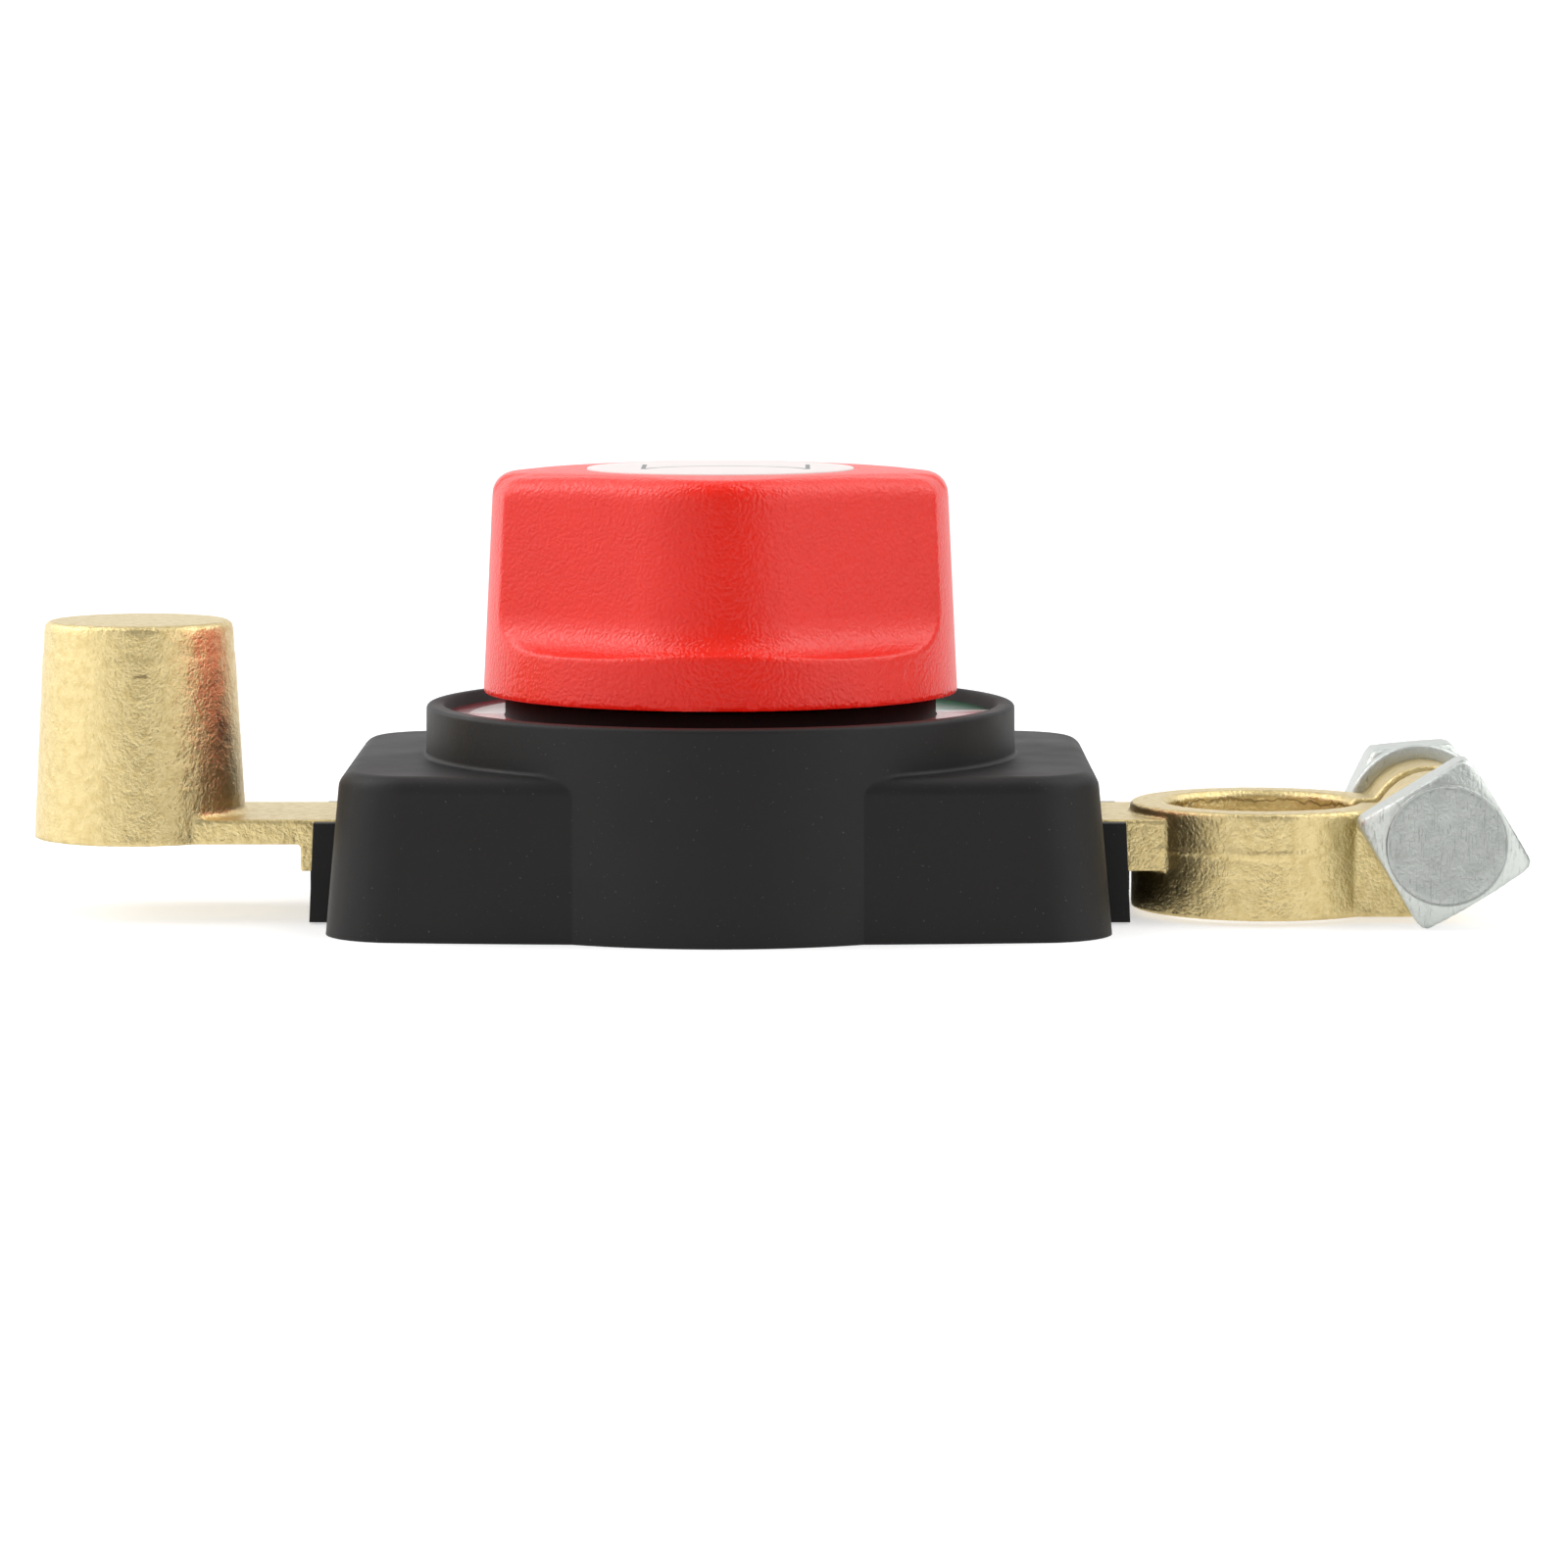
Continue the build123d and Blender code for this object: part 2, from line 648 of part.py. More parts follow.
with BuildPart() as knob:
    crown_middle_radius = (label_radius + knob_rim_radius) / 2
    with BuildSketch(Plane.XZ):
        with BuildLine():
            Polyline(
                (label_radius, knob_top),
                (0, knob_top),
                (0, knob_bottom),
                (knob_flange_radius, knob_bottom),
                (knob_rim_radius, knob_top - knob_crown_drop),
            )
            ThreePointArc(
                (knob_rim_radius, knob_top - knob_crown_drop),
                (crown_middle_radius, knob_top - knob_crown_drop / 4),
                (label_radius, knob_top),
            )
        make_face()
    revolve(axis=Axis.Z)
    add(grip_form.part, mode=Mode.INTERSECT)
    crown_face = knob.faces().sort_by(Axis.Z)[-2]
    fillet(crown_face.outer_wire().edges(), grip_top_fillet)
    # Skirt and grip are hollow, with a rib from the socket to each flank
    rib_length = 2 * (grip_short - knob_wall) * cos(radians(grip_rib_angle))
    with BuildSketch(Plane.XY.offset(knob_bottom)):
        Circle(knob_flange_radius - knob_wall)
    extrude(amount=knob_flange_height - knob_wall, taper=knob_draft, mode=Mode.SUBTRACT)
    add(grip_hollow.part, mode=Mode.SUBTRACT)
    with BuildSketch(Plane.XY.offset(socket_bottom)):
        Circle(socket_radius)
    extrude(amount=knob_ceiling - socket_bottom)
    with BuildSketch(Plane.XY.offset(socket_bottom + knob_wall)):
        for rib_angle in (grip_rib_angle, -grip_rib_angle):
            Rectangle(rib_length, socket_rib, rotation=rib_angle)
    extrude(amount=knob_ceiling - socket_bottom - knob_wall)
    # Socket for the flattened end of the spindle, screw recess and label seat
    with BuildSketch(Plane.XY.offset(socket_bottom)):
        Circle(spindle_radius + fit_clearance)
        Rectangle(
            4 * spindle_radius, spindle_flat_width + 2 * fit_clearance, mode=Mode.INTERSECT
        )
    extrude(amount=spindle_top + spindle_top_gap - socket_bottom, mode=Mode.SUBTRACT)
    with BuildSketch(Plane.XY.offset(socket_bottom)):
        Circle(knob_screw_radius + head_clearance)
    extrude(amount=knob_height, mode=Mode.SUBTRACT)
    with BuildSketch(Plane.XY.offset(screw_seat)):
        Circle(knob_screw_washer_radius + head_clearance)
    extrude(amount=knob_height, mode=Mode.SUBTRACT)
    with BuildSketch(Plane.XY.offset(label_seat)):
        Circle(label_radius + label_clearance)
    extrude(amount=knob_height, mode=Mode.SUBTRACT)

# Round label that hides the knob screw
with BuildPart() as knob_label:
    with BuildSketch(Plane.XY.offset(label_seat)):
        Circle(label_radius)
    extrude(amount=label_thickness)

# Screw and washer that hold the knob on the spindle
with BuildPart() as knob_screw_washer:
    with BuildSketch(Plane.XY.offset(screw_seat)):
        Circle(knob_screw_washer_radius)
        Circle(knob_screw_radius + fit_clearance, mode=Mode.SUBTRACT)
    extrude(amount=knob_screw_washer_thickness)

with BuildPart() as knob_screw:
    with BuildSketch(Plane.XY.offset(head_seat)):
        Circle(knob_screw_head_radius)
    extrude(amount=knob_screw_head_height)
    with BuildSketch(Plane.XY.offset(head_seat)):
        Circle(knob_screw_radius)
    extrude(amount=-knob_screw_length)
    with BuildSketch(Plane.XY.offset(head_seat + knob_screw_head_height)):
        add(cross_recess(knob_screw_head_radius))
    extrude(amount=-cross_depth, mode=Mode.SUBTRACT)

# Spindle: pivot, square drive, round bearing with seal groove, flattened end
pivot_bottom = plate_thickness + end_clearance
pivot_top = pivot_boss_height + end_clearance
clip_level = bridge_bottom - clip_gap - clip_thickness
seal_level = (cover_ceiling + hub_height) / 2
seal_radius = spindle_radius - seal_wire_radius
groove_radius = seal_radius - seal_wire_radius - fit_clearance
with BuildPart() as spindle:
    with BuildSketch(Plane.XY.offset(pivot_bottom)):
        Circle(pivot_radius)
    extrude(amount=pivot_top - pivot_bottom)
    with BuildSketch(Plane.XY.offset(pivot_top)):
        Rectangle(square_width, square_width)
    extrude(amount=carrier_top - pivot_top)
    with BuildSketch(Plane.XY.offset(carrier_top)):
        Circle(spindle_radius)
    extrude(amount=socket_bottom - carrier_top)
    with BuildSketch(Plane.XY.offset(socket_bottom)):
        Circle(spindle_radius)
        Rectangle(4 * spindle_radius, spindle_flat_width, mode=Mode.INTERSECT)
    extrude(amount=spindle_top - socket_bottom)
    # Groove for the retaining clip
    with BuildSketch(Plane.XY.offset(clip_level - fit_clearance)):
        Circle(spindle_radius)
        Circle(clip_neck_radius, mode=Mode.SUBTRACT)
    extrude(amount=clip_thickness + 2 * fit_clearance, mode=Mode.SUBTRACT)
    # Groove for the seal
    with BuildSketch(Plane.XY.offset(seal_level - seal_groove_width / 2)):
        Circle(2 * spindle_radius)
        Circle(groove_radius, mode=Mode.SUBTRACT)
    extrude(amount=seal_groove_width, mode=Mode.SUBTRACT)
    # Tapped hole for the knob screw
    tapped_depth = spindle_top - head_seat + knob_screw_length + end_clearance
    with Locations((0, 0, spindle_top)):
        Hole(knob_screw_radius + fit_clearance, depth=tapped_depth)

# Seal ring in the spindle's groove
with BuildPart() as spindle_seal:
    with BuildSketch(Plane.XZ):
        with Locations((seal_radius, seal_level)):
            Circle(seal_wire_radius)
    revolve(axis=Axis.Z)

# Contact carrier: moulded drum that turns the bridge and houses its springs
with BuildPart() as contact_carrier:
    with BuildSketch(Plane.XY.offset(carrier_bottom)):
        Circle(carrier_radius)
    extrude(amount=carrier_top - carrier_bottom)
    with BuildSketch(Plane.XY.offset(carrier_bottom)):
        Rectangle(2 * carrier_radius, bridge_width + 2 * bridge_side_clearance)
    extrude(amount=bridge_top + bridge_side_clearance - carrier_bottom, mode=Mode.SUBTRACT)
    with BuildSketch(Plane.XY.offset(carrier_bottom)):
        Circle(spring_pocket_radius)
    extrude(amount=pocket_top - carrier_bottom, mode=Mode.SUBTRACT)
    with BuildSketch(Plane.XY.offset(carrier_bottom)):
        Rectangle(square_hole, square_hole)
    extrude(amount=carrier_top - carrier_bottom, mode=Mode.SUBTRACT)
    # Stop lug, rooted in the drum
    lug_root = carrier_radius - carrier_wall / 2
    with BuildSketch(Plane.XY.offset(carrier_top - lug_height)):
        with PolarLocations((lug_root + lug_reach) / 2, 1, start_angle=lug_angle):
            Rectangle(lug_reach - lug_root, lug_width)
    extrude(amount=lug_height)

# Contact bridge: copper bar with a square hole and two riveted tips
with BuildPart() as contact_bridge:
    with BuildSketch(Plane.XY.offset(bridge_bottom)):
        RectangleRounded(bridge_length, bridge_width, bridge_width / 3)
        Rectangle(square_hole, square_hole, mode=Mode.SUBTRACT)
        with GridLocations(2 * contact_offset, 0, 2, 1):
            Circle(contact_rivet_radius + fit_clearance, mode=Mode.SUBTRACT)
    extrude(amount=bridge_thickness)

with BuildPart() as bridge_tips:
    with BuildSketch(Plane.XY.offset(bridge_bottom)):
        with GridLocations(2 * contact_offset, 0, 2, 1):
            Circle(tip_radius)
    extrude(amount=-tip_thickness)
    with BuildSketch(Plane.XY.offset(bridge_bottom)):
        with GridLocations(2 * contact_offset, 0, 2, 1):
            Circle(contact_rivet_radius)
    extrude(amount=bridge_thickness)

# Pair of disc springs, cupped away from each other, above the bridge
spring_cup = spring_room / 2 - spring_sheet
with BuildPart() as contact_springs:
    with BuildSketch(Plane.XZ):
        for seat_level, rise in ((bridge_top, 1), (pocket_top, -1)):
            with BuildLine():
                Polyline(
                    (spring_inner_radius, seat_level),
                    (spring_inner_radius, seat_level + rise * spring_sheet),
                    (spring_outer_radius, seat_level + rise * (spring_sheet + spring_cup)),
                    (spring_outer_radius, seat_level + rise * spring_cup),
                    close=True,
                )
            make_face()
    revolve(axis=Axis.Z)

# Retaining clip under the bridge
with BuildPart() as retaining_clip:
    with BuildSketch(Plane.XY.offset(clip_level)):
        Circle(clip_radius)
        Circle(clip_neck_radius + fit_clearance, mode=Mode.SUBTRACT)
        with Locations((0, -clip_radius)):
            Rectangle(clip_mouth, 2 * clip_radius, mode=Mode.SUBTRACT)
    extrude(amount=clip_thickness)

pieces = {
    "housing_cover": housing_cover.part,
    "base_plate": base_plate.part,
    "base_screws": base_screws.part,
    "terminal_screws": terminal_screws.part,
    "dial_label": dial_label.part,
    "post_terminal": post_terminal.part,
    "clamp_terminal": clamp_terminal.part,
    "clamp_bolt": clamp_bolt.part,
    "clamp_washer": clamp_washer.part,
    "clamp_nut": clamp_nut.part,
    "post_contact": fixed_contacts["post_contact"],
    "clamp_contact": fixed_contacts["clamp_contact"],
    "thrust_washer": thrust_washer.part,
    "knob": knob.part,
    "knob_label": knob_label.part,
    "knob_screw": knob_screw.part,
    "knob_screw_washer": knob_screw_washer.part,
    "spindle": spindle.part,
    "spindle_seal": spindle_seal.part,
    "contact_carrier": contact_carrier.part,
    "contact_bridge": contact_bridge.part,
    "bridge_tips": bridge_tips.part,
    "contact_springs": contact_springs.part,
    "retaining_clip": retaining_clip.part,
}
for piece_name, piece in pieces.items():
    piece.label = piece_name
    export_step(piece, f"parts/{piece_name}.step")
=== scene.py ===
"""Battery disconnect switch: surfaces, soft edges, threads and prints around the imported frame."""

import json
from functools import partial
from math import atan2, cos, exp, hypot, pi, radians, sin, sqrt, tan

import bmesh
import bpy
from bpy.props import FloatProperty, FloatVectorProperty, IntProperty, PointerProperty
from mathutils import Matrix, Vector, noise


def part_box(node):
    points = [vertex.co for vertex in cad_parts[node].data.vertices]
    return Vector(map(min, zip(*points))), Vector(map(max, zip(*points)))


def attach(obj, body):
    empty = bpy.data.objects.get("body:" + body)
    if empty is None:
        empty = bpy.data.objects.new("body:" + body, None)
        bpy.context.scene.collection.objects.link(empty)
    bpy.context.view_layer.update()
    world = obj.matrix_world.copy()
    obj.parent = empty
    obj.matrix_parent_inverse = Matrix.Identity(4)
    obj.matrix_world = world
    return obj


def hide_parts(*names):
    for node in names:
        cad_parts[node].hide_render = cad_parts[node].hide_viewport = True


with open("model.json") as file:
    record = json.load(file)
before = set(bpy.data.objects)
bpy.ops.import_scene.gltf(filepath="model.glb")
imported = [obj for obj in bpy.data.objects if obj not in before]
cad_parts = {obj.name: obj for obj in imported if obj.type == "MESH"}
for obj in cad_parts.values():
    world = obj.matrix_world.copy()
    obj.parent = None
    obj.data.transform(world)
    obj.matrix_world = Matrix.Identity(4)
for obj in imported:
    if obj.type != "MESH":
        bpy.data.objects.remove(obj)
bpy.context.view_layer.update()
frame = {"nodes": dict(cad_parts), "record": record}

bl_info = {
    "name": "Battery disconnect switch",
    "version": (1, 0, 0),
    "blender": (4, 5, 0),
    "location": "View3D > Sidebar > Switch",
    "description": "Finishes the pieces of a battery disconnect switch and lights them",
    "category": "Object",
}

MM = 0.001
WELD = 0.000002
SHARP_FROM = radians(28)
COLOUR = {"subtype": "COLOR", "size": 3, "min": 0, "max": 1}
NOISE_SPAN = {"From Min": 0.3, "From Max": 0.7}

# Dark marks on the brass: place and half size in millimetres, and strength.
BRASS_MARKS = (
    ((-53.2, -8.9, 22.7), (1.3, 3.0, 0.3), 0.65),
    ((-46.0, -4.5, 17.3), (1.3, 3.0, 2.4), 0.55),
    ((44.9, -10.6, 6.6), (1.6, 3.0, 0.3), 0.5),
)


def linear(hex_colour):
    """Linear colour from an sRGB hex value such as E12A1B."""
    channels = []
    for start in (0, 2, 4):
        share = int(hex_colour[start:start + 2], 16) / 255
        channels.append(share / 12.92 if share <= 0.04045 else ((share + 0.055) / 1.055) ** 2.4)
    return tuple(channels)


def opaque(colour, factor=1.0):
    """The colour times the factor, with full alpha, as node sockets want it."""
    return (*(min(1.0, channel * factor) for channel in colour), 1.0)


def per_size(millimetres):
    """Texture scale whose features measure this many millimetres."""
    return 1 / (millimetres * MM)


def sized(place, millimetres):
    """Inputs of a texture at these coordinates whose features measure this many millimetres."""
    return {"Vector": place, "Scale": per_size(millimetres)}


def corners(node_name):
    """Lowest and highest corner of a frame node, in millimetres."""
    return [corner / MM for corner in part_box(node_name)]


def clamp_ring():
    """The clamp ring's axis along X, its top and its bore's radius at the top, from its mount."""
    mount = next(mount for mount in frame["record"]["mounts"] if mount["name"] == "battery_clamp")
    top = mount["pos_m"][2] + mount["dims"]["length_mm"] * MM
    return mount["pos_m"][0], top, mount["dims"]["r_mm"] * MM


def full_turn(steps):
    """Even angles round a full turn."""
    return [2 * pi * step / steps for step in range(steps)]


def quarter_turn(steps, first=0):
    """Sine and cosine at even steps of a quarter turn."""
    for step in range(first, steps + 1):
        angle = step / steps * pi / 2
        yield sin(angle), cos(angle)


class SwitchStage(bpy.types.PropertyGroup):
    """Floor, camera and lamps."""

    floor_colour: FloatVectorProperty(
        name="Floor", description="Colour of the floor and the cove", default=linear("D2D2D2"), **COLOUR,
    )
    floor_glow: FloatProperty(
        name="Floor glow", description="Light that the floor adds towards the camera",
        default=0.56, min=0, max=1,
    )
    camera_x: FloatProperty(
        name="Camera X", description="Camera place along the switch", unit="LENGTH", default=0.0059,
    )
    camera_distance: FloatProperty(
        name="Camera distance", description="Distance from the spindle", unit="LENGTH", default=0.560,
    )
    camera_height: FloatProperty(
        name="Camera height", description="Height above the floor", unit="LENGTH", default=0.0704,
    )
    camera_pitch: FloatProperty(
        name="Camera pitch", description="Tilt of the view below level", subtype="ANGLE",
        default=radians(5.96),
    )
    camera_lens: FloatProperty(
        name="Lens", description="Focal length on a 36 mm sensor", unit="CAMERA", default=138.6,
    )
    left_power: FloatProperty(
        name="Left wall", description="Power of the wide soft wall on the left", unit="POWER", default=4.6,
    )
    front_power: FloatProperty(
        name="Front left", description="Power of the soft box left of the camera", unit="POWER", default=1.3,
    )
    right_power: FloatProperty(
        name="Right wall", description="Power of the soft wall on the right", unit="POWER", default=2.9,
    )
    top_power: FloatProperty(
        name="Top lamps", description="Power of each of the two raised soft boxes", unit="POWER", default=2.5,
    )
    room_light: FloatProperty(
        name="Room light", description="Even light from the room", default=0.18, min=0, max=2,
    )


class SwitchPlastic(bpy.types.PropertyGroup):
    """Moulded housing, base and knob."""

    black: FloatVectorProperty(
        name="Black", description="Colour of the housing's nylon", default=linear("161414"), **COLOUR,
    )
    red: FloatVectorProperty(name="Red", description="Colour of the knob", default=linear("FA2006"), **COLOUR)
    edge_radius: FloatProperty(
        name="Edge radius", description="Rounding of the housing's moulded edges", unit="LENGTH",
        default=0.15 * MM,
    )
    grip_long: FloatProperty(
        name="Grip length", description="Half length of the finger grip's rhombus", unit="LENGTH",
        default=31.05 * MM,
    )
    grip_short: FloatProperty(
        name="Grip width", description="Half width of the finger grip's rhombus", unit="LENGTH",
        default=22.8 * MM,
    )
    grip_tip: FloatProperty(
        name="Grip tip", description="Radius of the grip's front and back tips", unit="LENGTH",
        default=12.0 * MM,
    )
    grip_floor: FloatProperty(
        name="Grip floor", description="Radius between the grip's flanks and the flange", unit="LENGTH",
        default=3.6 * MM,
    )
    grip_rim: FloatProperty(
        name="Grip rim", description="Radius round the top of the grip", unit="LENGTH", default=2.0 * MM,
    )
    knob_voxel: FloatProperty(
        name="Knob face size", description="Edge of one face on the knob", unit="LENGTH",
        default=0.34 * MM, min=0.3 * MM,
    )
    edge_passes: IntProperty(
        name="Edge passes", description="Smoothing passes that round the knob's edges", default=2, min=0,
    )
    knob_grain: FloatProperty(
        name="Knob grain", description="Width of one grain cell", unit="LENGTH", default=0.34 * MM,
    )


class SwitchPrint(bpy.types.PropertyGroup):
    """Printed label and dial."""

    label_colour: FloatVectorProperty(
        name="Label", description="Ground of the knob's label", default=linear("EAE0DD"), **COLOUR,
    )
    label_ink: FloatVectorProperty(
        name="Label ink", description="Thin lines on the label", default=linear("4A4A4E"), **COLOUR,
    )
    arc_radius: FloatProperty(
        name="Arc radius", description="Radius of the printed arc", unit="LENGTH", default=7.9 * MM,
    )
    arc_width: FloatProperty(
        name="Arc width", description="Distance between the arc's two ends", unit="LENGTH", default=15.2 * MM,
    )
    tick_length: FloatProperty(
        name="Tick", description="Length of the ticks at the arc's ends", unit="LENGTH", default=8.2 * MM,
    )
    line_width: FloatProperty(
        name="Line width", description="Width of the printed lines", unit="LENGTH", default=0.55 * MM,
    )
    dial_red: FloatVectorProperty(
        name="Dial red", description="Field of the ON side", default=linear("D8303A"), **COLOUR,
    )
    dial_dark_red: FloatVectorProperty(
        name="Dial dark red", description="Band along the dial's outer edge",
        default=linear("96283A"), **COLOUR,
    )
    dial_green: FloatVectorProperty(
        name="Dial green", description="Field of the OFF side", default=linear("1E7850"), **COLOUR,
    )
    dial_white: FloatVectorProperty(
        name="Dial white", description="Ground of the dial", default=linear("F2E9E6"), **COLOUR,
    )


class SwitchMetal(bpy.types.PropertyGroup):
    """Forged terminals and plated fasteners."""

    brass: FloatVectorProperty(
        name="Brass", description="Colour of the bright forged brass", default=linear("E2CE97"), **COLOUR,
    )
    brass_dull: FloatVectorProperty(
        name="Dull brass", description="Colour where the brass has tarnished",
        default=linear("D6C087"), **COLOUR,
    )
    zinc: FloatVectorProperty(
        name="Zinc", description="Colour of the zinc plating", default=linear("BEC2BE"), **COLOUR,
    )
    brass_voxel: FloatProperty(
        name="Brass face size", description="Edge of one face on the terminals", unit="LENGTH",
        default=0.25 * MM, min=0.2 * MM,
    )
    brass_stain: FloatVectorProperty(
        name="Brass stain", description="Colour of the dark marks on the brass",
        default=linear("5E4426"), **COLOUR,
    )
    forging_passes: IntProperty(
        name="Forging passes", description="Smoothing passes that round the forged edges", default=1, min=0,
    )
    forging_ripple: FloatProperty(
        name="Forging ripple", description="Height of the forging's unevenness", unit="LENGTH",
        default=0.012 * MM,
    )
    parting_level: FloatProperty(
        name="Parting line", description="Height of the die line on the clamp ring", unit="LENGTH",
        default=6.6 * MM,
    )
    thread_pitch: FloatProperty(
        name="Thread pitch", description="Pitch of the clamp bolt's thread", unit="LENGTH", default=1.25 * MM,
    )
    head_width: FloatProperty(
        name="Bolt head", description="Width across the flats of the square head", unit="LENGTH",
        default=11.8 * MM,
    )
    head_turn: FloatProperty(
        name="Bolt head turn", description="Turn of the square head", subtype="ANGLE", default=radians(31.5),
    )
    nut_width: FloatProperty(
        name="Nut", description="Width across the flats of the nut", unit="LENGTH", default=13.0 * MM,
    )
    nut_turn: FloatProperty(
        name="Nut turn", description="Turn of the nut", subtype="ANGLE", default=radians(4.9),
    )


def add_object(name, data):
    """A new object with this data, linked into the scene."""
    item = bpy.data.objects.new(name, data)
    bpy.context.scene.collection.objects.link(item)
    return item


def add_node(tree, kind, inputs=None, **options):
    """Adds a shader node with its options and inputs; a node given as an input feeds its first output."""
    node = tree.nodes.new("ShaderNode" + kind)
    for name, value in options.items():
        setattr(node, name, value)
    for socket, value in (inputs or {}).items():
        if isinstance(value, bpy.types.Node):
            value = next(output for output in value.outputs if output.enabled)
        if isinstance(value, bpy.types.NodeSocket):
            tree.links.new(value, node.inputs[socket])
        else:
            node.inputs[socket].default_value = value
    return node


def new_material(name):
    """An empty node material, the function that adds its nodes, and its object coordinates."""
    material = bpy.data.materials.new(name)
    material.use_nodes = True
    material.node_tree.nodes.clear()
    add = partial(add_node, material.node_tree)
    return material, add, add("TexCoord").outputs["Object"]


def finish_material(material, surface):
    """Ends the material in a principled surface with these inputs."""
    tree = material.node_tree
    add_node(tree, "OutputMaterial", {"Surface": add_node(tree, "BsdfPrincipled", surface)})
    return material


def moulded_nylon(name, colour, scuffed=1.0, edge_radius=0.0):
    """Glass-filled nylon from a spark-eroded mould: a fine matt skin that greys where light grazes it, with a
    painted highlight along its edges and creases that patches of rubbing break up.
    """
    # The real spark grain is near 0.1 mm; it is drawn coarser so that it shows.
    spark_width, edge_patch_width, cloud_width = 0.28, 0.9, 7.0
    spark_depth = 0.012 * MM
    material, add, place = new_material(name)
    edge = add("Bevel", {"Radius": edge_radius}, samples=4)
    spark = add("TexNoise", {**sized(place, spark_width), "Detail": 3.0})
    cloud = add("TexNoise", {**sized(place, cloud_width), "Detail": 4.0})
    tint = add(
        "Mix", {"Factor": cloud, "A": opaque(colour, 0.82), "B": opaque(colour, 1.25)}, data_type="RGBA",
    )
    gloss = add("MapRange", {"Value": cloud, **NOISE_SPAN, "To Min": 0.5, "To Max": 0.6})
    skin = add("Bump", {"Height": spark, "Strength": scuffed, "Distance": spark_depth, "Normal": edge})
    form = add("NewGeometry")
    # Painted highlight: a pale line is painted wherever the rounded normal bends away, at convex edges and
    # concave creases alike. Patchy noise breaks it up like rubbing, and the pale dust specks are added to it.
    bend = add("VectorMath", {0: edge, 1: form.outputs["Normal"]}, operation="DOT_PRODUCT")
    painted_edge_highlight = add("MapRange", {"Value": bend, "From Min": 0.995, "From Max": 0.9})
    patchy = add("TexNoise", {**sized(place, edge_patch_width), "Detail": 4.0})
    edge_highlight_and_wear = add("Math", {0: painted_edge_highlight, 1: patchy}, operation="MULTIPLY")
    dust = add("MapRange", {"Value": spark, "From Min": 0.705, "From Max": 0.74, "To Max": 0.6})
    pale = add("Math", {0: edge_highlight_and_wear, 1: dust}, operation="MAXIMUM")
    tint = add(
        "Mix", {"Factor": pale, "A": tint, "B": opaque([c * 2 + 0.06 for c in colour])}, data_type="RGBA",
    )
    return finish_material(material, {"Base Color": tint, "Roughness": gloss, "IOR": 1.38, "Normal": skin})


def grained_abs(settings):
    """ABS from a leather-grained mould: red with soft highlights that the grain breaks up."""
    wander_width, fine_width, cloud_width = 1.3, 0.2, 5.0
    wander_share, fine_share = 0.0009, 0.35
    grain_depth = 0.07 * MM
    material, add, place = new_material("grained_red_abs")
    wander = add("TexNoise", {**sized(place, wander_width)})
    bent = add("Mix", {"Factor": wander_share, "A": place, "B": wander.outputs["Color"]}, data_type="VECTOR")
    cells = add(
        "TexVoronoi", {"Vector": bent, "Scale": 1 / settings.knob_grain, "Smoothness": 0.6},
        feature="SMOOTH_F1",
    )
    fine = add("TexNoise", {**sized(place, fine_width)})
    relief = add("Math", {0: fine, 1: fine_share, 2: cells}, operation="MULTIPLY_ADD")
    grain = add("Bump", {"Height": relief, "Distance": grain_depth}, invert=True)
    cloud = add("TexNoise", {**sized(place, cloud_width), "Detail": 3.0})
    tint = add(
        "Mix", {"Factor": cloud, "A": opaque(settings.red, 0.93), "B": opaque(settings.red, 1.07)},
        data_type="RGBA",
    )
    return finish_material(
        material,
        {"Base Color": tint, "Roughness": 0.32, "IOR": 1.5, "Normal": grain,
         "Subsurface Weight": 0.08, "Subsurface Radius": (0.002, 0.0006, 0.0004), "Subsurface Scale": 1.0},
    )


def band(add, value, middle, half_width, softness):
    """A mask that is 1 within half_width of the middle and fades over the softness."""
    away = add("Math", {0: value, 1: middle}, operation="SUBTRACT")
    size = add("Math", {0: away}, operation="ABSOLUTE")
    return add(
        "MapRange", {"Value": size, "From Min": half_width + softness, "From Max": half_width - softness},
    )


def from_axis(add, place, middle=(0.0, 0.0)):
    """Distance from an upright axis, and the coordinates seen from it."""
    seen = add("VectorMath", {0: place, 1: (*middle, 0.0)}, operation="SUBTRACT")
    parts = add("SeparateXYZ", {"Vector": seen})
    flat = add("CombineXYZ", {"X": parts.outputs["X"], "Y": parts.outputs["Y"]})
    return add("VectorMath", {0: flat}, operation="LENGTH"), parts


def turn_about(add, parts):
    """Angle about the upright axis that the coordinates are seen from."""
    return add("Math", {0: parts.outputs["Y"], 1: parts.outputs["X"]}, operation="ARCTAN2")


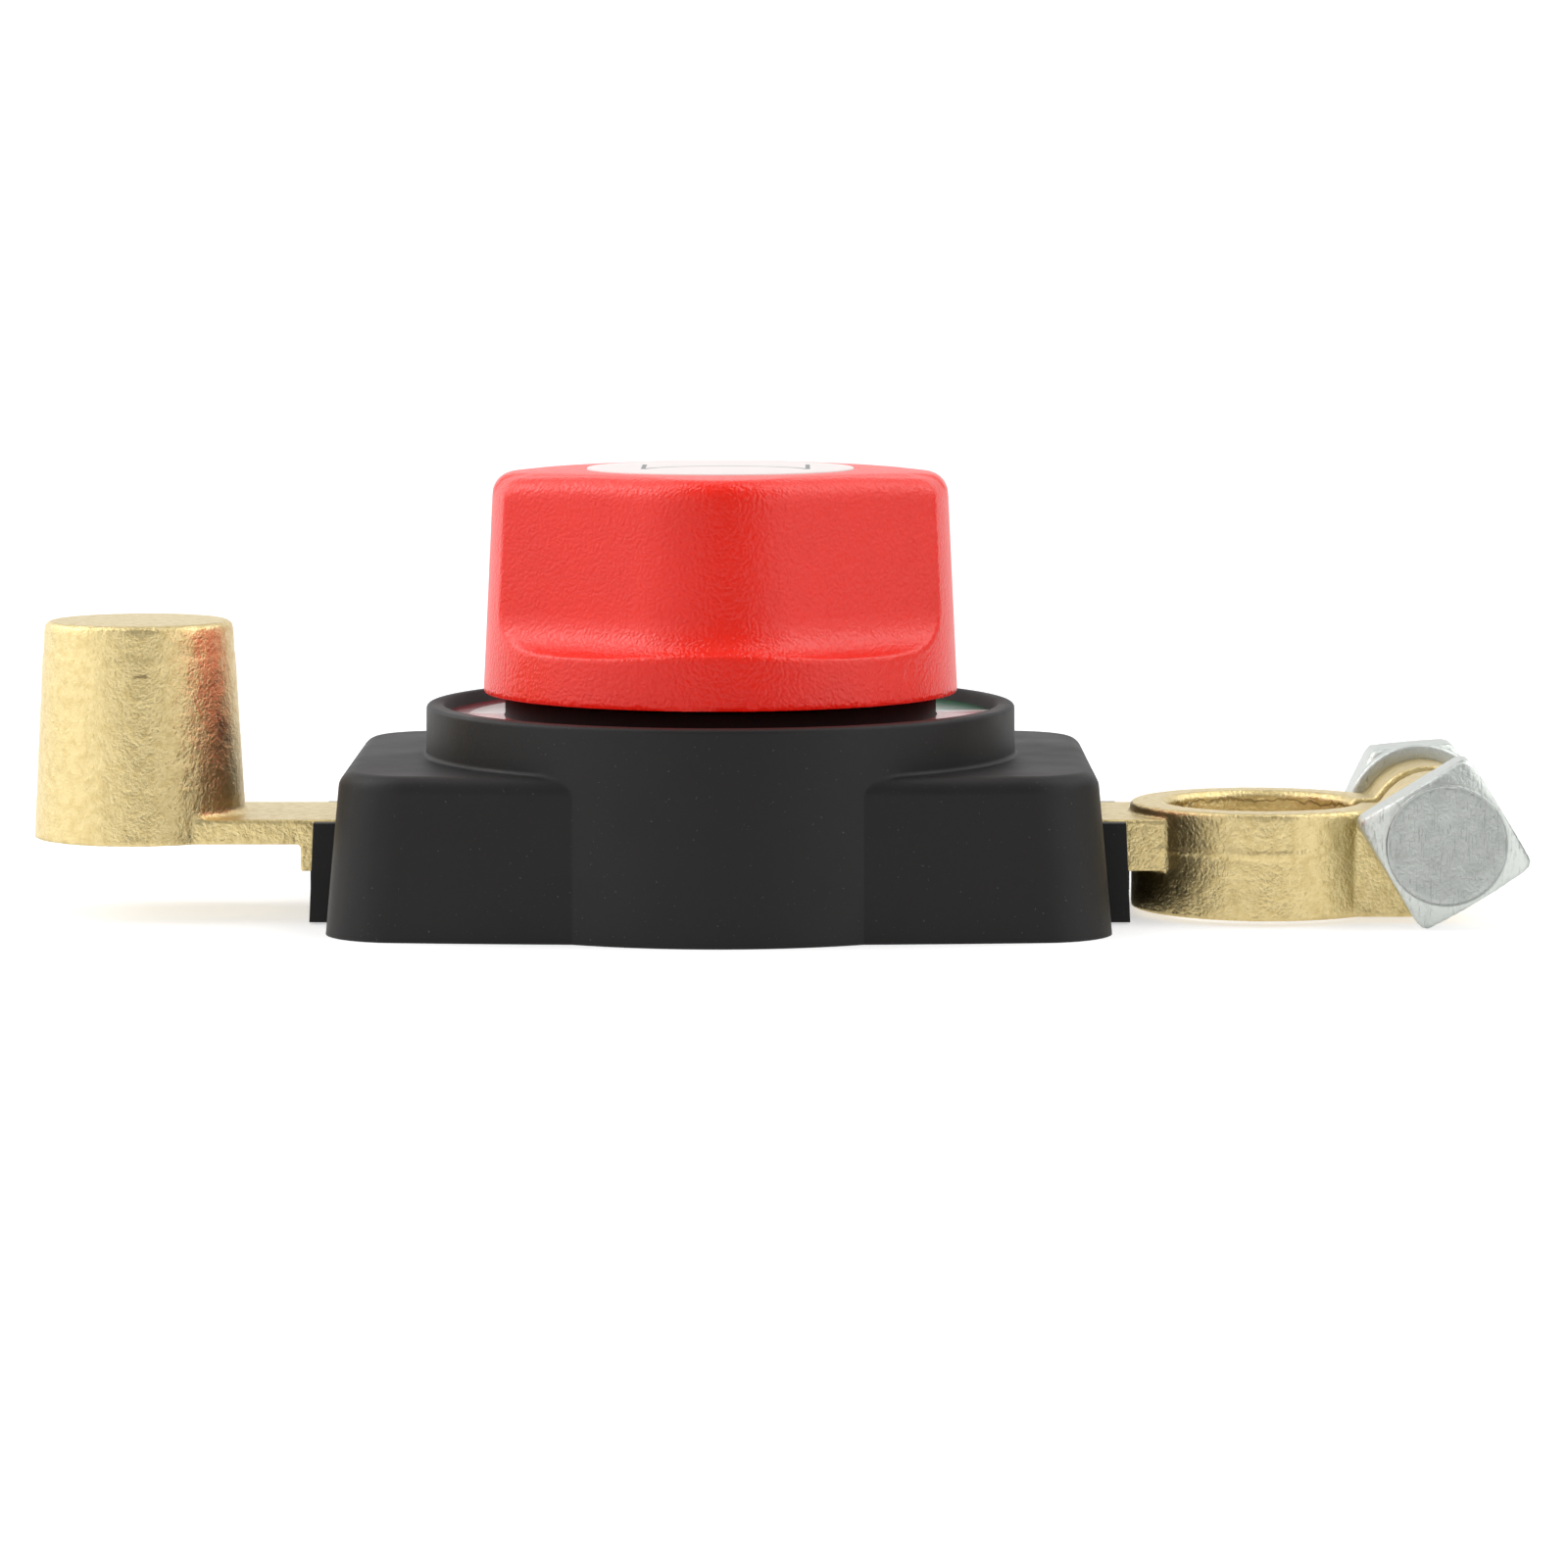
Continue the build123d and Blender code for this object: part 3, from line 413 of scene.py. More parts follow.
def printed_vinyl(settings):
    """Screen-printed vinyl: smooth white with a thin grey arc and two ticks for the quarter turn."""
    arc_x, arc_y = 0.5 * MM, -5.9 * MM
    blur, turn_blur, tick_share = 0.04 * MM, 0.004, 0.75
    peel_width, peel_depth = 1.4, 0.01 * MM
    material, add, place = new_material("printed_vinyl_label")
    half_width = settings.arc_width / 2
    half_line = settings.line_width / 2
    reach, seen = from_axis(add, place, (arc_x, arc_y))
    turn = turn_about(add, seen)
    half_turn = atan2(half_width, sqrt(settings.arc_radius ** 2 - half_width ** 2))
    on_arc = band(add, reach, settings.arc_radius, half_line, blur)
    in_span = band(add, turn, pi / 2, half_turn, turn_blur)
    ink = add("Math", {0: on_arc, 1: in_span}, operation="MULTIPLY")
    parts = add("SeparateXYZ", {"Vector": place})
    tick_start = arc_y + settings.arc_radius * cos(half_turn)
    tick_middle = tick_start + settings.tick_length / 2
    for side in (-1, 1):
        across = band(add, parts.outputs["X"], arc_x + side * half_width, half_line * tick_share, blur)
        along = band(add, parts.outputs["Y"], tick_middle, settings.tick_length / 2, blur)
        tick = add("Math", {0: across, 1: along}, operation="MULTIPLY")
        ink = add("Math", {0: ink, 1: tick}, operation="MAXIMUM")
    tint = add(
        "Mix", {"Factor": ink, "A": opaque(settings.label_colour), "B": opaque(settings.label_ink)},
        data_type="RGBA",
    )
    peel = add("TexNoise", {**sized(place, peel_width)})
    wave = add("Bump", {"Height": peel, "Distance": peel_depth})
    return finish_material(material, {"Base Color": tint, "Roughness": 0.34, "IOR": 1.5, "Normal": wave})


def printed_polyester(settings):
    """Back-printed polyester: red and green fields on white under a glossy film."""
    low, high = corners("dial_label")
    outer = (high.x - low.x) / 2 * MM
    dark_width, margin = 2.2 * MM, 0.1 * MM
    blur, turn_blur = 0.05 * MM, 0.006
    fields = (
        (-43, 48, settings.dial_red, 0.0),
        (29.5, 20.5, settings.dial_green, 0.0),
        (-145, 42, settings.dial_red, 0.0),
        (142, 48, settings.dial_dark_red, outer - dark_width),
    )
    material, add, place = new_material("printed_polyester_dial")
    reach, parts = from_axis(add, place)
    turn = turn_about(add, parts)
    colour = opaque(settings.dial_white)
    for middle, half, ink, inner in fields:
        sector = band(add, turn, radians(middle), radians(half), turn_blur)
        ring = band(add, reach, (inner + outer) / 2, (outer - inner) / 2 + margin, blur)
        mask = add("Math", {0: sector, 1: ring}, operation="MULTIPLY")
        colour = add("Mix", {"Factor": mask, "A": colour, "B": opaque(ink)}, data_type="RGBA")
    return finish_material(
        material,
        {"Base Color": colour, "Roughness": 0.22, "IOR": 1.58, "Coat Weight": 0.3, "Coat Roughness": 0.1},
    )


def brass_soil(add, place, dents, waves, cloud):
    """Mask of the dark soil: in the deepest dents, at the marks, and along the burr in the ring's bore."""
    burr_wander, burr_rise, burr_strength, ragged_share = 1.6 * MM, 0.1 * MM, 0.55, 3.0
    soil = add("MapRange", {"Value": dents, "From Min": 0.33, "From Max": 0.22, "To Max": 0.8})
    for middle, size, strength in BRASS_MARKS:
        near = add(
            "Mapping",
            {"Vector": place, "Location": [-m / s for m, s in zip(middle, size)],
             "Scale": [per_size(s) for s in size]},
        )
        away = add("VectorMath", {0: near}, operation="LENGTH")
        ragged = add("Math", {0: cloud, 1: ragged_share, 2: away}, operation="MULTIPLY_ADD")
        spot = add("MapRange", {"Value": ragged, "From Min": 2.2, "From Max": 1.6, "To Max": strength})
        soil = add("Math", {0: soil, 1: spot}, operation="MAXIMUM")
    ring_x, ring_top, bore_radius = clamp_ring()
    reach, parts = from_axis(add, place, (ring_x, 0.0))
    wander = add("Math", {0: waves, 1: burr_wander, 2: parts.outputs["Z"]}, operation="MULTIPLY_ADD")
    in_bore = band(add, reach, bore_radius, half_width=0.5 * MM, softness=0.1 * MM)
    at_burr = band(add, wander, ring_top - burr_rise, half_width=0.1 * MM, softness=0.04 * MM)
    faint = add("Math", {0: in_bore, 1: burr_strength}, operation="MULTIPLY")
    burr = add("Math", {0: faint, 1: at_burr}, operation="MULTIPLY")
    return add("Math", {0: soil, 1: burr}, operation="MAXIMUM")


def forged_brass(settings):
    """Hot-forged brass, tumbled bright: small dents scatter the light, and hollows keep a dull film."""
    dent_width, wave_width, cloud_width = 0.3, 1.6, 0.8
    wave_share, dent_depth = 1.5, 0.11 * MM
    material, add, place = new_material("forged_tumbled_brass")
    dents = add("TexNoise", {**sized(place, dent_width), "Detail": 3.0, "Roughness": 0.6})
    waves = add("TexNoise", {**sized(place, wave_width)})
    relief = add("Math", {0: waves, 1: wave_share, 2: dents}, operation="MULTIPLY_ADD")
    dented = add("Bump", {"Height": relief, "Distance": dent_depth})
    cloud = add("TexNoise", {**sized(place, cloud_width), "Detail": 5.0})
    film = add("MapRange", {"Value": cloud, "From Min": 0.42, "From Max": 0.68})
    tint = add(
        "Mix", {"Factor": film, "A": opaque(settings.brass), "B": opaque(settings.brass_dull)},
        data_type="RGBA",
    )
    soil = brass_soil(add, place, dents, waves, cloud)
    tint = add("Mix", {"Factor": soil, "A": tint, "B": opaque(settings.brass_stain)}, data_type="RGBA")
    gloss = add("MapRange", {"Value": cloud, **NOISE_SPAN, "To Min": 0.28, "To Max": 0.41})
    return finish_material(
        material, {"Base Color": tint, "Metallic": 1.0, "Roughness": gloss, "Normal": dented},
    )


def zinc_plated_steel(settings):
    """Cold-headed steel with barrel zinc plating: a pale grey that knocks have scratched and clouded."""
    scratch_width, grit_width, cloud_width = 0.11, 0.4, 1.6
    scratch_share, relief_depth = -0.8, 0.08 * MM
    face_radius, face_blur = 5.5 * MM, 0.25 * MM
    material, add, place = new_material("zinc_plated_steel")
    scratches = None
    for angle, length in ((20, 2.4), (75, 1.6), (-40, 2.0)):
        stretched = add(
            "Mapping",
            {"Vector": place, "Rotation": (radians(angle), radians(angle * 2), radians(angle)),
             "Scale": (per_size(scratch_width), per_size(length), per_size(length))},
        )
        streak = add("TexNoise", {"Vector": stretched, "Scale": 1.0})
        line = add("MapRange", {"Value": streak, "From Min": 0.66, "From Max": 0.74})
        if scratches:
            line = add("Math", {0: scratches, 1: line}, operation="MAXIMUM")
        scratches = line
    cloud = add("TexNoise", {**sized(place, cloud_width), "Detail": 5.0})
    film = add("MapRange", {"Value": cloud, "From Min": 0.35, "From Max": 0.68})
    tint = add(
        "Mix", {"Factor": film, "A": opaque(settings.zinc), "B": opaque(settings.zinc, 0.86)},
        data_type="RGBA",
    )
    # The heads' faces are duller than their turned corners, outside a circle about the bolt's axis.
    bolt_axis = [(low + high) / 2 for low, high in zip(*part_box("clamp_washer"))]
    seen = add("VectorMath", {0: place, 1: bolt_axis}, operation="SUBTRACT")
    flat = add("VectorMath", {0: seen, 1: (1.0, 0.0, 1.0)}, operation="MULTIPLY")
    reach = add("VectorMath", {0: flat}, operation="LENGTH")
    on_face = band(add, reach, 0.0, face_radius, face_blur)
    tint = add("Mix", {"Factor": on_face, "A": opaque(settings.zinc, 1.2), "B": tint}, data_type="RGBA")
    gloss = add("MapRange", {"Value": cloud, **NOISE_SPAN, "To Min": 0.34, "To Max": 0.5})
    grit = add("TexNoise", {**sized(place, grit_width), "Detail": 4.0, "Roughness": 0.65})
    relief = add("Math", {0: scratches, 1: scratch_share, 2: grit}, operation="MULTIPLY_ADD")
    scratched = add("Bump", {"Height": relief, "Distance": relief_depth})
    return finish_material(
        material, {"Base Color": tint, "Metallic": 1.0, "Roughness": gloss, "Normal": scratched},
    )


def plain_metal(name, colour, low_gloss, high_gloss, mark_width):
    """Stamped or turned metal inside the housing: an even sheen with fine tool marks."""
    mark_depth = 0.006 * MM
    material, add, place = new_material(name)
    marks = add("TexNoise", {**sized(place, mark_width), "Detail": 3.0})
    gloss = add("MapRange", {"Value": marks, **NOISE_SPAN, "To Min": low_gloss, "To Max": high_gloss})
    tint = add("Mix", {"Factor": marks, "A": opaque(colour, 0.85), "B": opaque(colour)}, data_type="RGBA")
    relief = add("Bump", {"Height": marks, "Distance": mark_depth})
    return finish_material(
        material, {"Base Color": tint, "Metallic": 1.0, "Roughness": gloss, "Normal": relief},
    )


def dress(piece, material):
    """Gives the piece this one material."""
    piece.data.materials.clear()
    piece.data.materials.append(material)


def settle(piece):
    """Applies the piece's modifiers to its mesh."""
    graph = bpy.context.evaluated_depsgraph_get()
    shaped = bpy.data.meshes.new_from_object(piece.evaluated_get(graph))
    rough = piece.data
    piece.modifiers.clear()
    piece.data = shaped
    bpy.data.meshes.remove(rough)
    shaped.shade_smooth()


def welded_copy(source, piece_name):
    """A copy of a solid whose faces share their corners."""
    mesh = source.data.copy()
    form = bmesh.new()
    form.from_mesh(mesh)
    bmesh.ops.remove_doubles(form, verts=form.verts, dist=WELD)
    form.to_mesh(mesh)
    form.free()
    return add_object(piece_name, mesh)


def soft_copy(source, piece_name, voxel, passes):
    """A copy of a solid with even faces and rounded edges, on the solid's own form."""
    piece = welded_copy(source, piece_name)
    even = piece.modifiers.new("Even faces", "REMESH")
    even.mode = "VOXEL"
    even.voxel_size = voxel
    seat = piece.modifiers.new("True form", "SHRINKWRAP")
    seat.target = source
    seat.wrap_method = "NEAREST_SURFACEPOINT"
    ease = piece.modifiers.new("Rounded edges", "SMOOTH")
    ease.factor = 0.5
    ease.iterations = passes
    settle(piece)
    return piece


def crisp_copy(node_name, piece_name):
    """A copy of a frame node that shades its curves smoothly and keeps its true edges."""
    piece = welded_copy(frame["nodes"][node_name], piece_name)
    piece.data.shade_smooth()
    piece.data.set_sharp_from_angle(angle=SHARP_FROM)
    even = piece.modifiers.new("Flat faces stay flat", "WEIGHTED_NORMAL")
    even.keep_sharp = True
    even.weight = 100
    return piece


def shell_mesh(name, rings, looped):
    """A closed mesh from rings of points: the ends are joined if looped, or else capped."""
    form = bmesh.new()
    rows = [[form.verts.new(Vector(point) * MM) for point in ring] for ring in rings]
    pairs = list(zip(rows, rows[1:]))
    if looped:
        pairs.append((rows[-1], rows[0]))
    count = len(rows[0])
    for row, next_row in pairs:
        for here in range(count):
            ahead = (here + 1) % count
            form.faces.new((row[here], row[ahead], next_row[ahead], next_row[here]))
    if not looped:
        for row in (rows[0], rows[-1]):
            middle = form.verts.new(sum((vertex.co for vertex in row), Vector()) / count)
            for here in range(count):
                form.faces.new((row[here], row[(here + 1) % count], middle))
    bmesh.ops.recalc_face_normals(form, faces=form.faces)
    mesh = bpy.data.meshes.new(name)
    form.to_mesh(mesh)
    form.free()
    mesh.shade_smooth()
    return add_object(name, mesh)


def placed(piece, body, slot, material, *nodes):
    """Finishes a piece: its material and body, and hides the frame nodes it stands for; the slot is not used.
    """
    dress(piece, material)
    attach(piece, body)
    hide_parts(*nodes)


def polygon_reach(angle, sides, apothem, turn, corner):
    """Distance from the middle to a polygon's edge, with its corners rounded."""
    step = 2 * pi / sides
    half = step / 2
    off = (angle - turn + half) % step - half
    edge = apothem / cos(off)
    corner_middle = (apothem - corner) / cos(half)
    away = half - abs(off)
    inside = corner * corner - (corner_middle * sin(away)) ** 2
    if inside <= 0:
        return edge
    rounded = corner_middle * cos(away) + sqrt(inside)
    tangent = atan2((apothem - corner) * tan(half), apothem)
    return rounded if abs(off) > tangent else edge


class SWITCH_OT_stage(bpy.types.Operator):
    """Builds the pale floor and cove, the camera and the soft lamps"""

    bl_idname = "switch_part.stage"
    bl_label = "Stage"

    def execute(self, context):
        settings = context.scene.switch_stage
        self.build_floor(settings)
        self.build_camera(context, settings)
        self.build_lamps(context, settings)
        return {"FINISHED"}

    def build_floor(self, settings):
        """Pale floor that curves up into the backdrop behind the switch."""
        fibre_width = 2.0
        material, add, place = new_material("pale_paper")
        fibres = add("TexNoise", {**sized(place, fibre_width), "Detail": 3.0})
        tint = add(
            "Mix",
            {"Factor": fibres, "A": opaque(settings.floor_colour, 0.995), "B": opaque(settings.floor_colour)},
            data_type="RGBA",
        )
        paper = add("BsdfDiffuse", {"Color": tint})
        path = add("LightPath")
        seen = path.outputs["Is Camera Ray"]
        for ray in ("Is Glossy Ray", "Is Transmission Ray"):
            seen = add("Math", {0: seen, 1: path.outputs[ray]}, operation="MAXIMUM")
        strength = add("Math", {0: seen, 1: settings.floor_glow}, operation="MULTIPLY")
        glow = add("Emission", {"Color": opaque((1.0, 1.0, 1.0)), "Strength": strength})
        both = add("AddShader", {0: paper, 1: glow})
        add("OutputMaterial", {"Surface": both})
        half_width, front = 1400.0, -1500.0
        bend_start, bend_radius, wall_top = 500.0, 400.0, 1500.0
        profile = [(front, 0.0), (bend_start, 0.0)]
        for sine, cosine in quarter_turn(16, first=1):
            profile.append((bend_start + bend_radius * sine, bend_radius * (1 - cosine)))
        profile.append((bend_start + bend_radius, wall_top))
        points = [(side * half_width * MM, y * MM, z * MM) for y, z in profile for side in (-1, 1)]
        faces = [(left, left + 1, left + 3, left + 2) for left in range(0, len(points) - 2, 2)]
        mesh = bpy.data.meshes.new("floor_and_cove")
        mesh.from_pydata(points, [], faces)
        mesh.shade_smooth()
        floor = add_object("floor_and_cove", mesh)
        dress(floor, material)

    def build_camera(self, context, settings):
        """Camera in front of the switch, a little above its knob."""
        lens = bpy.data.cameras.new("camera")
        lens.lens = settings.camera_lens
        lens.sensor_width = 36.0
        camera = add_object("camera", lens)
        camera.location = (settings.camera_x, -settings.camera_distance, settings.camera_height)
        camera.rotation_euler = (pi / 2 - settings.camera_pitch, 0.0, 0.0)
        context.scene.camera = camera

    def build_lamps(self, context, settings):
        """Soft walls left and right, a box left of the camera, two raised boxes, and an even room."""
        lamps = (
            ("left_wall", (-0.75, 0.0, 0.35), (1.5, 0.7), settings.left_power),
            ("front_left_box", (-0.42, -0.80, 0.45), (0.6, 1.0), settings.front_power),
            ("right_wall", (0.72, -0.36, 0.35), (0.9, 0.7), settings.right_power),
            ("raised_left_box", (-0.42, 0.12, 0.62), (0.45, 0.7), settings.top_power),
            ("raised_right_box", (0.42, 0.12, 0.62), (0.45, 0.7), settings.top_power),
        )
        target = Vector((0.0, 0.0, 0.015))
        for name, location, size, power in lamps:
            light = bpy.data.lights.new(name, "AREA")
            light.shape = "RECTANGLE"
            light.size, light.size_y = size
            light.energy = power
            lamp = add_object(name, light)
            lamp.location = location
            lamp.rotation_euler = (target - lamp.location).to_track_quat("-Z", "Y").to_euler()
        room = bpy.data.worlds.new("room")
        context.scene.world = room
        room.use_nodes = True
        room.node_tree.nodes.clear()
        add = partial(add_node, room.node_tree)
        air = add("Background", {"Color": opaque(linear("FFFFFF")), "Strength": settings.room_light})
        add("OutputWorld", {"Surface": air})
        context.scene.view_settings.view_transform = "Standard"


class SWITCH_OT_housing(bpy.types.Operator):
    """Finishes the housing cover and the base plate in black nylon"""

    bl_idname = "switch_part.housing"
    bl_label = "Housing"

    def execute(self, context):
        settings = context.scene.switch_plastic
        nylon = moulded_nylon("moulded_black_nylon", settings.black, edge_radius=settings.edge_radius)
        cover = crisp_copy("housing_cover", "housing_cover_shell")
        placed(cover, "housing", "black_plastic", nylon, "housing_cover")
        dress(frame["nodes"]["base_plate"], nylon)
        dress(frame["nodes"]["contact_carrier"], nylon)
        return {"FINISHED"}


class SWITCH_OT_knob(bpy.types.Operator):
    """Rounds the moulded edges of the knob and grains it"""

    bl_idname = "switch_part.knob"
    bl_label = "Knob"

    def execute(self, context):
        settings = context.scene.switch_plastic
        full = self.fill_out(settings)
        knob = soft_copy(full, "knob_grip", settings.knob_voxel, settings.edge_passes)
        bpy.data.objects.remove(full)
        placed(knob, "rotor", "red_plastic", grained_abs(settings), "knob")
        return {"FINISHED"}

    def fill_out(self, settings):
        """The knob's solid joined with the skin that fills out its grip."""
        skin = self.build_skin(settings)
        full = welded_copy(frame["nodes"]["knob"], "knob_full")
        union = full.modifiers.new("Filled grip", "BOOLEAN")
        union.operation = "UNION"
        union.solver = "MANIFOLD"
        union.object = skin
        settle(full)
        bpy.data.objects.remove(skin)
        return full

    def flank_reach(self, settings, angle, spread):
        """Distance from the spindle to the rhombus at this angle, its outline moved out by the spread."""
        from_tip = atan2(abs(cos(angle)), abs(sin(angle)))
        slope = atan2(settings.grip_short, settings.grip_long)
        flank = settings.grip_short * cos(slope) / MM
        tip_middle = (flank - settings.grip_tip / MM) / cos(slope)
        tip = settings.grip_tip / MM + spread
        tangent = atan2(tip * sin(slope), tip_middle + tip * cos(slope))
        if from_tip > tangent:
            return (flank + spread) / cos(from_tip - slope)
        return tip_middle * cos(from_tip) + sqrt(tip * tip - (tip_middle * sin(from_tip)) ** 2)

    def skin_profile(self, settings, low, high, angle):
        """Section of the skin at this angle: outside from the flange over the crown, then back inside."""
        flange_height, label_edge, crown_drop = 4.5, 12.6, 0.5
        knob_lean, grip_lean = tan(radians(2.8)), tan(radians(2.5))
        hidden, overlap, thickness = 0.01, 1.0, 2.0
        wall_steps, crown_steps, inside_steps = 16, 4, 5
        flange = (high.x - low.x) / 2
        flange_top = low.z + flange_height
        floor, rim = settings.grip_floor / MM, settings.grip_rim / MM

        def wall(z, spread):
            rise = max(0.0, z - flange_top)
            cone = flange - (z - low.z) * knob_lean + min(0.0, spread) - hidden
            return min(cone, self.flank_reach(settings, angle, spread - rise * grip_lean))

        def crown(reach):
            share = (reach - label_edge) / (flange - label_edge - overlap)
            return high.z - crown_drop * share * share - hidden

        bottom = flange_top - overlap
        points = [(flange - (bottom - low.z) * knob_lean - hidden, bottom)]
        for sine, cosine in quarter_turn(14):
            z = flange_top + floor * (1 - cosine) - hidden
            points.append((wall(z, floor * (1 - sine)), z))
        edge = crown(wall(high.z, 0.0))
        start = flange_top + floor
        for step in range(1, wall_steps + 1):
            z = start + (edge - rim - start) * step / wall_steps
            points.append((wall(z, 0.0), z))
        for sine, cosine in quarter_turn(8, first=1):
            z = edge - rim + rim * sine
            points.append((wall(z, -rim * (1 - cosine)), z))
        last = points[-1][0]
        inner_edge = label_edge + overlap
        for step in range(1, crown_steps + 1):
            reach = last + (inner_edge - last) * step / crown_steps
            points.append((reach, crown(reach)))
        points.append((inner_edge, high.z - thickness))
        inside_top = high.z - thickness - overlap
        for step in range(inside_steps + 1):
            z = inside_top + (bottom - inside_top) * step / inside_steps
            points.append((wall(z, 0.0) - thickness, z))
        return points

    def build_skin(self, settings):
        """A closed sleeve in the knob's walls whose outside is the full grip with its scooped floor."""
        turns = full_turn(360)
        low, high = corners("knob")
        sections = [self.skin_profile(settings, low, high, turn) for turn in turns]
        rings = [
            [(reach * cos(turn), reach * sin(turn), z) for turn, (reach, z) in zip(turns, ring)]
            for ring in zip(*sections)
        ]
        return shell_mesh("knob_skin", rings, looped=True)


class SWITCH_OT_prints(bpy.types.Operator):
    """Makes the round label on the knob and prints it and the dial"""

    bl_idname = "switch_part.prints"
    bl_label = "Label and dial"

    def execute(self, context):
        settings = context.scene.switch_print
        low, high = corners("knob_label")
        edge_share = 0.45
        radius, edge = (high.x - low.x) / 2, (high.z - low.z) * edge_share
        profile = [(0.2 * radius, low.z), (0.6 * radius, low.z)]
        flat = radius - edge
        profile += [(flat + edge * sine, low.z + edge - edge * cosine) for sine, cosine in quarter_turn(5)]
        profile += [(flat + edge * cosine, high.z - edge + edge * sine) for sine, cosine in quarter_turn(5)]
        profile += [(share * radius, high.z) for share in (0.8, 0.5, 0.2)]
        turns = full_turn(160)
        rings = [[(reach * cos(turn), reach * sin(turn), z) for turn in turns] for reach, z in profile]
        label = shell_mesh("knob_label_disc", rings, looped=False)
        placed(label, "rotor", "label_white", printed_vinyl(settings), "knob_label")
        dress(frame["nodes"]["dial_label"], printed_polyester(settings))
        return {"FINISHED"}


class SWITCH_OT_terminals(bpy.types.Operator):
    """Gives both brass terminals their forged edges, ripples and die lines"""

    bl_idname = "switch_part.terminals"
    bl_label = "Terminals"

    def execute(self, context):
        settings = context.scene.switch_metal
        brass = forged_brass(settings)
        for node_name in ("post_terminal", "clamp_terminal"):
            source = frame["nodes"][node_name]
            piece = soft_copy(source, node_name + "_forging", settings.brass_voxel, settings.forging_passes)
            self.ripple(piece, settings)
            placed(piece, "housing", "brass", brass, node_name)
        return {"FINISHED"}

    def ripple(self, piece, settings):
        """Uneven forged skin, with the ring's die line and bore burr and the step under the post's top."""
        skin_size, skin_falloff, lacunarity, octaves = 1.6 * MM, 0.6, 2.0, 3
        slow_waves, fast_waves, fast_share = 5, 19, 0.4
        die_lip, die_drop, die_width, die_wander = 0.17 * MM, 0.13 * MM, 0.22 * MM, 0.35 * MM
        burr_level, burr_depth, burr_width, burr_wander = 0.9 * MM, 0.08 * MM, 0.2 * MM, 0.5 * MM
        step_below_top, step_drop, step_width, step_wander = 3.1 * MM, 0.05 * MM, 0.15 * MM, 0.2 * MM
        near_ring, near_bore, near_step, bore_taper = 0.6 * MM, 0.5 * MM, 1 * MM, 0.3 * MM
        ring_end, bore_end, step_wave = 5 * MM, 8 * MM, 3 * MM
        ring_low, ring_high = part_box("clamp_terminal")
        ring_radius = (ring_high.y - ring_low.y) / 2
        ring_x, ring_top, bore_radius = clamp_ring()
        step_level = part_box("post_terminal")[1].z - step_below_top

        def soft_step(away):
            return 1 / (1 + exp(max(-40.0, min(40.0, 4 * away))))

        moved = []
        for vertex in piece.data.vertices:
            place = vertex.co
            rough = noise.fractal(place / skin_size, skin_falloff, lacunarity, octaves)
            push = settings.forging_ripple * rough
            reach = hypot(place.x - ring_x, place.y)
            turn = atan2(place.y, place.x - ring_x)
            upright = abs(vertex.normal.z) < 0.5
            wander = noise.noise(Vector((turn * slow_waves, 0.0, 3.0)))
            wander += fast_share * noise.noise(Vector((turn * fast_waves, 2.0, 3.0)))
            on_ring = abs(reach - ring_radius) < near_ring and place.x < ring_x + ring_end
            in_bore = abs(reach - bore_radius - bore_taper) < near_bore and place.x < ring_x + bore_end
            if upright and on_ring:
                away = (place.z - settings.parting_level - die_wander * wander) / die_width
                push += die_lip * exp(-away * away) - die_drop * soft_step(away)
            elif upright and in_bore:
                away = (place.z - ring_top + burr_level + burr_wander * wander) / burr_width
                push -= burr_depth * exp(-away * away)
            elif upright and place.z > step_level - near_step and place.x < 0:
                away = (place.z - step_level - step_wander * noise.noise(place / step_wave)) / step_width
                push -= step_drop * soft_step(-away)
            moved.append(place + vertex.normal * push)
        for vertex, place in zip(piece.data.vertices, moved):
            vertex.co = place


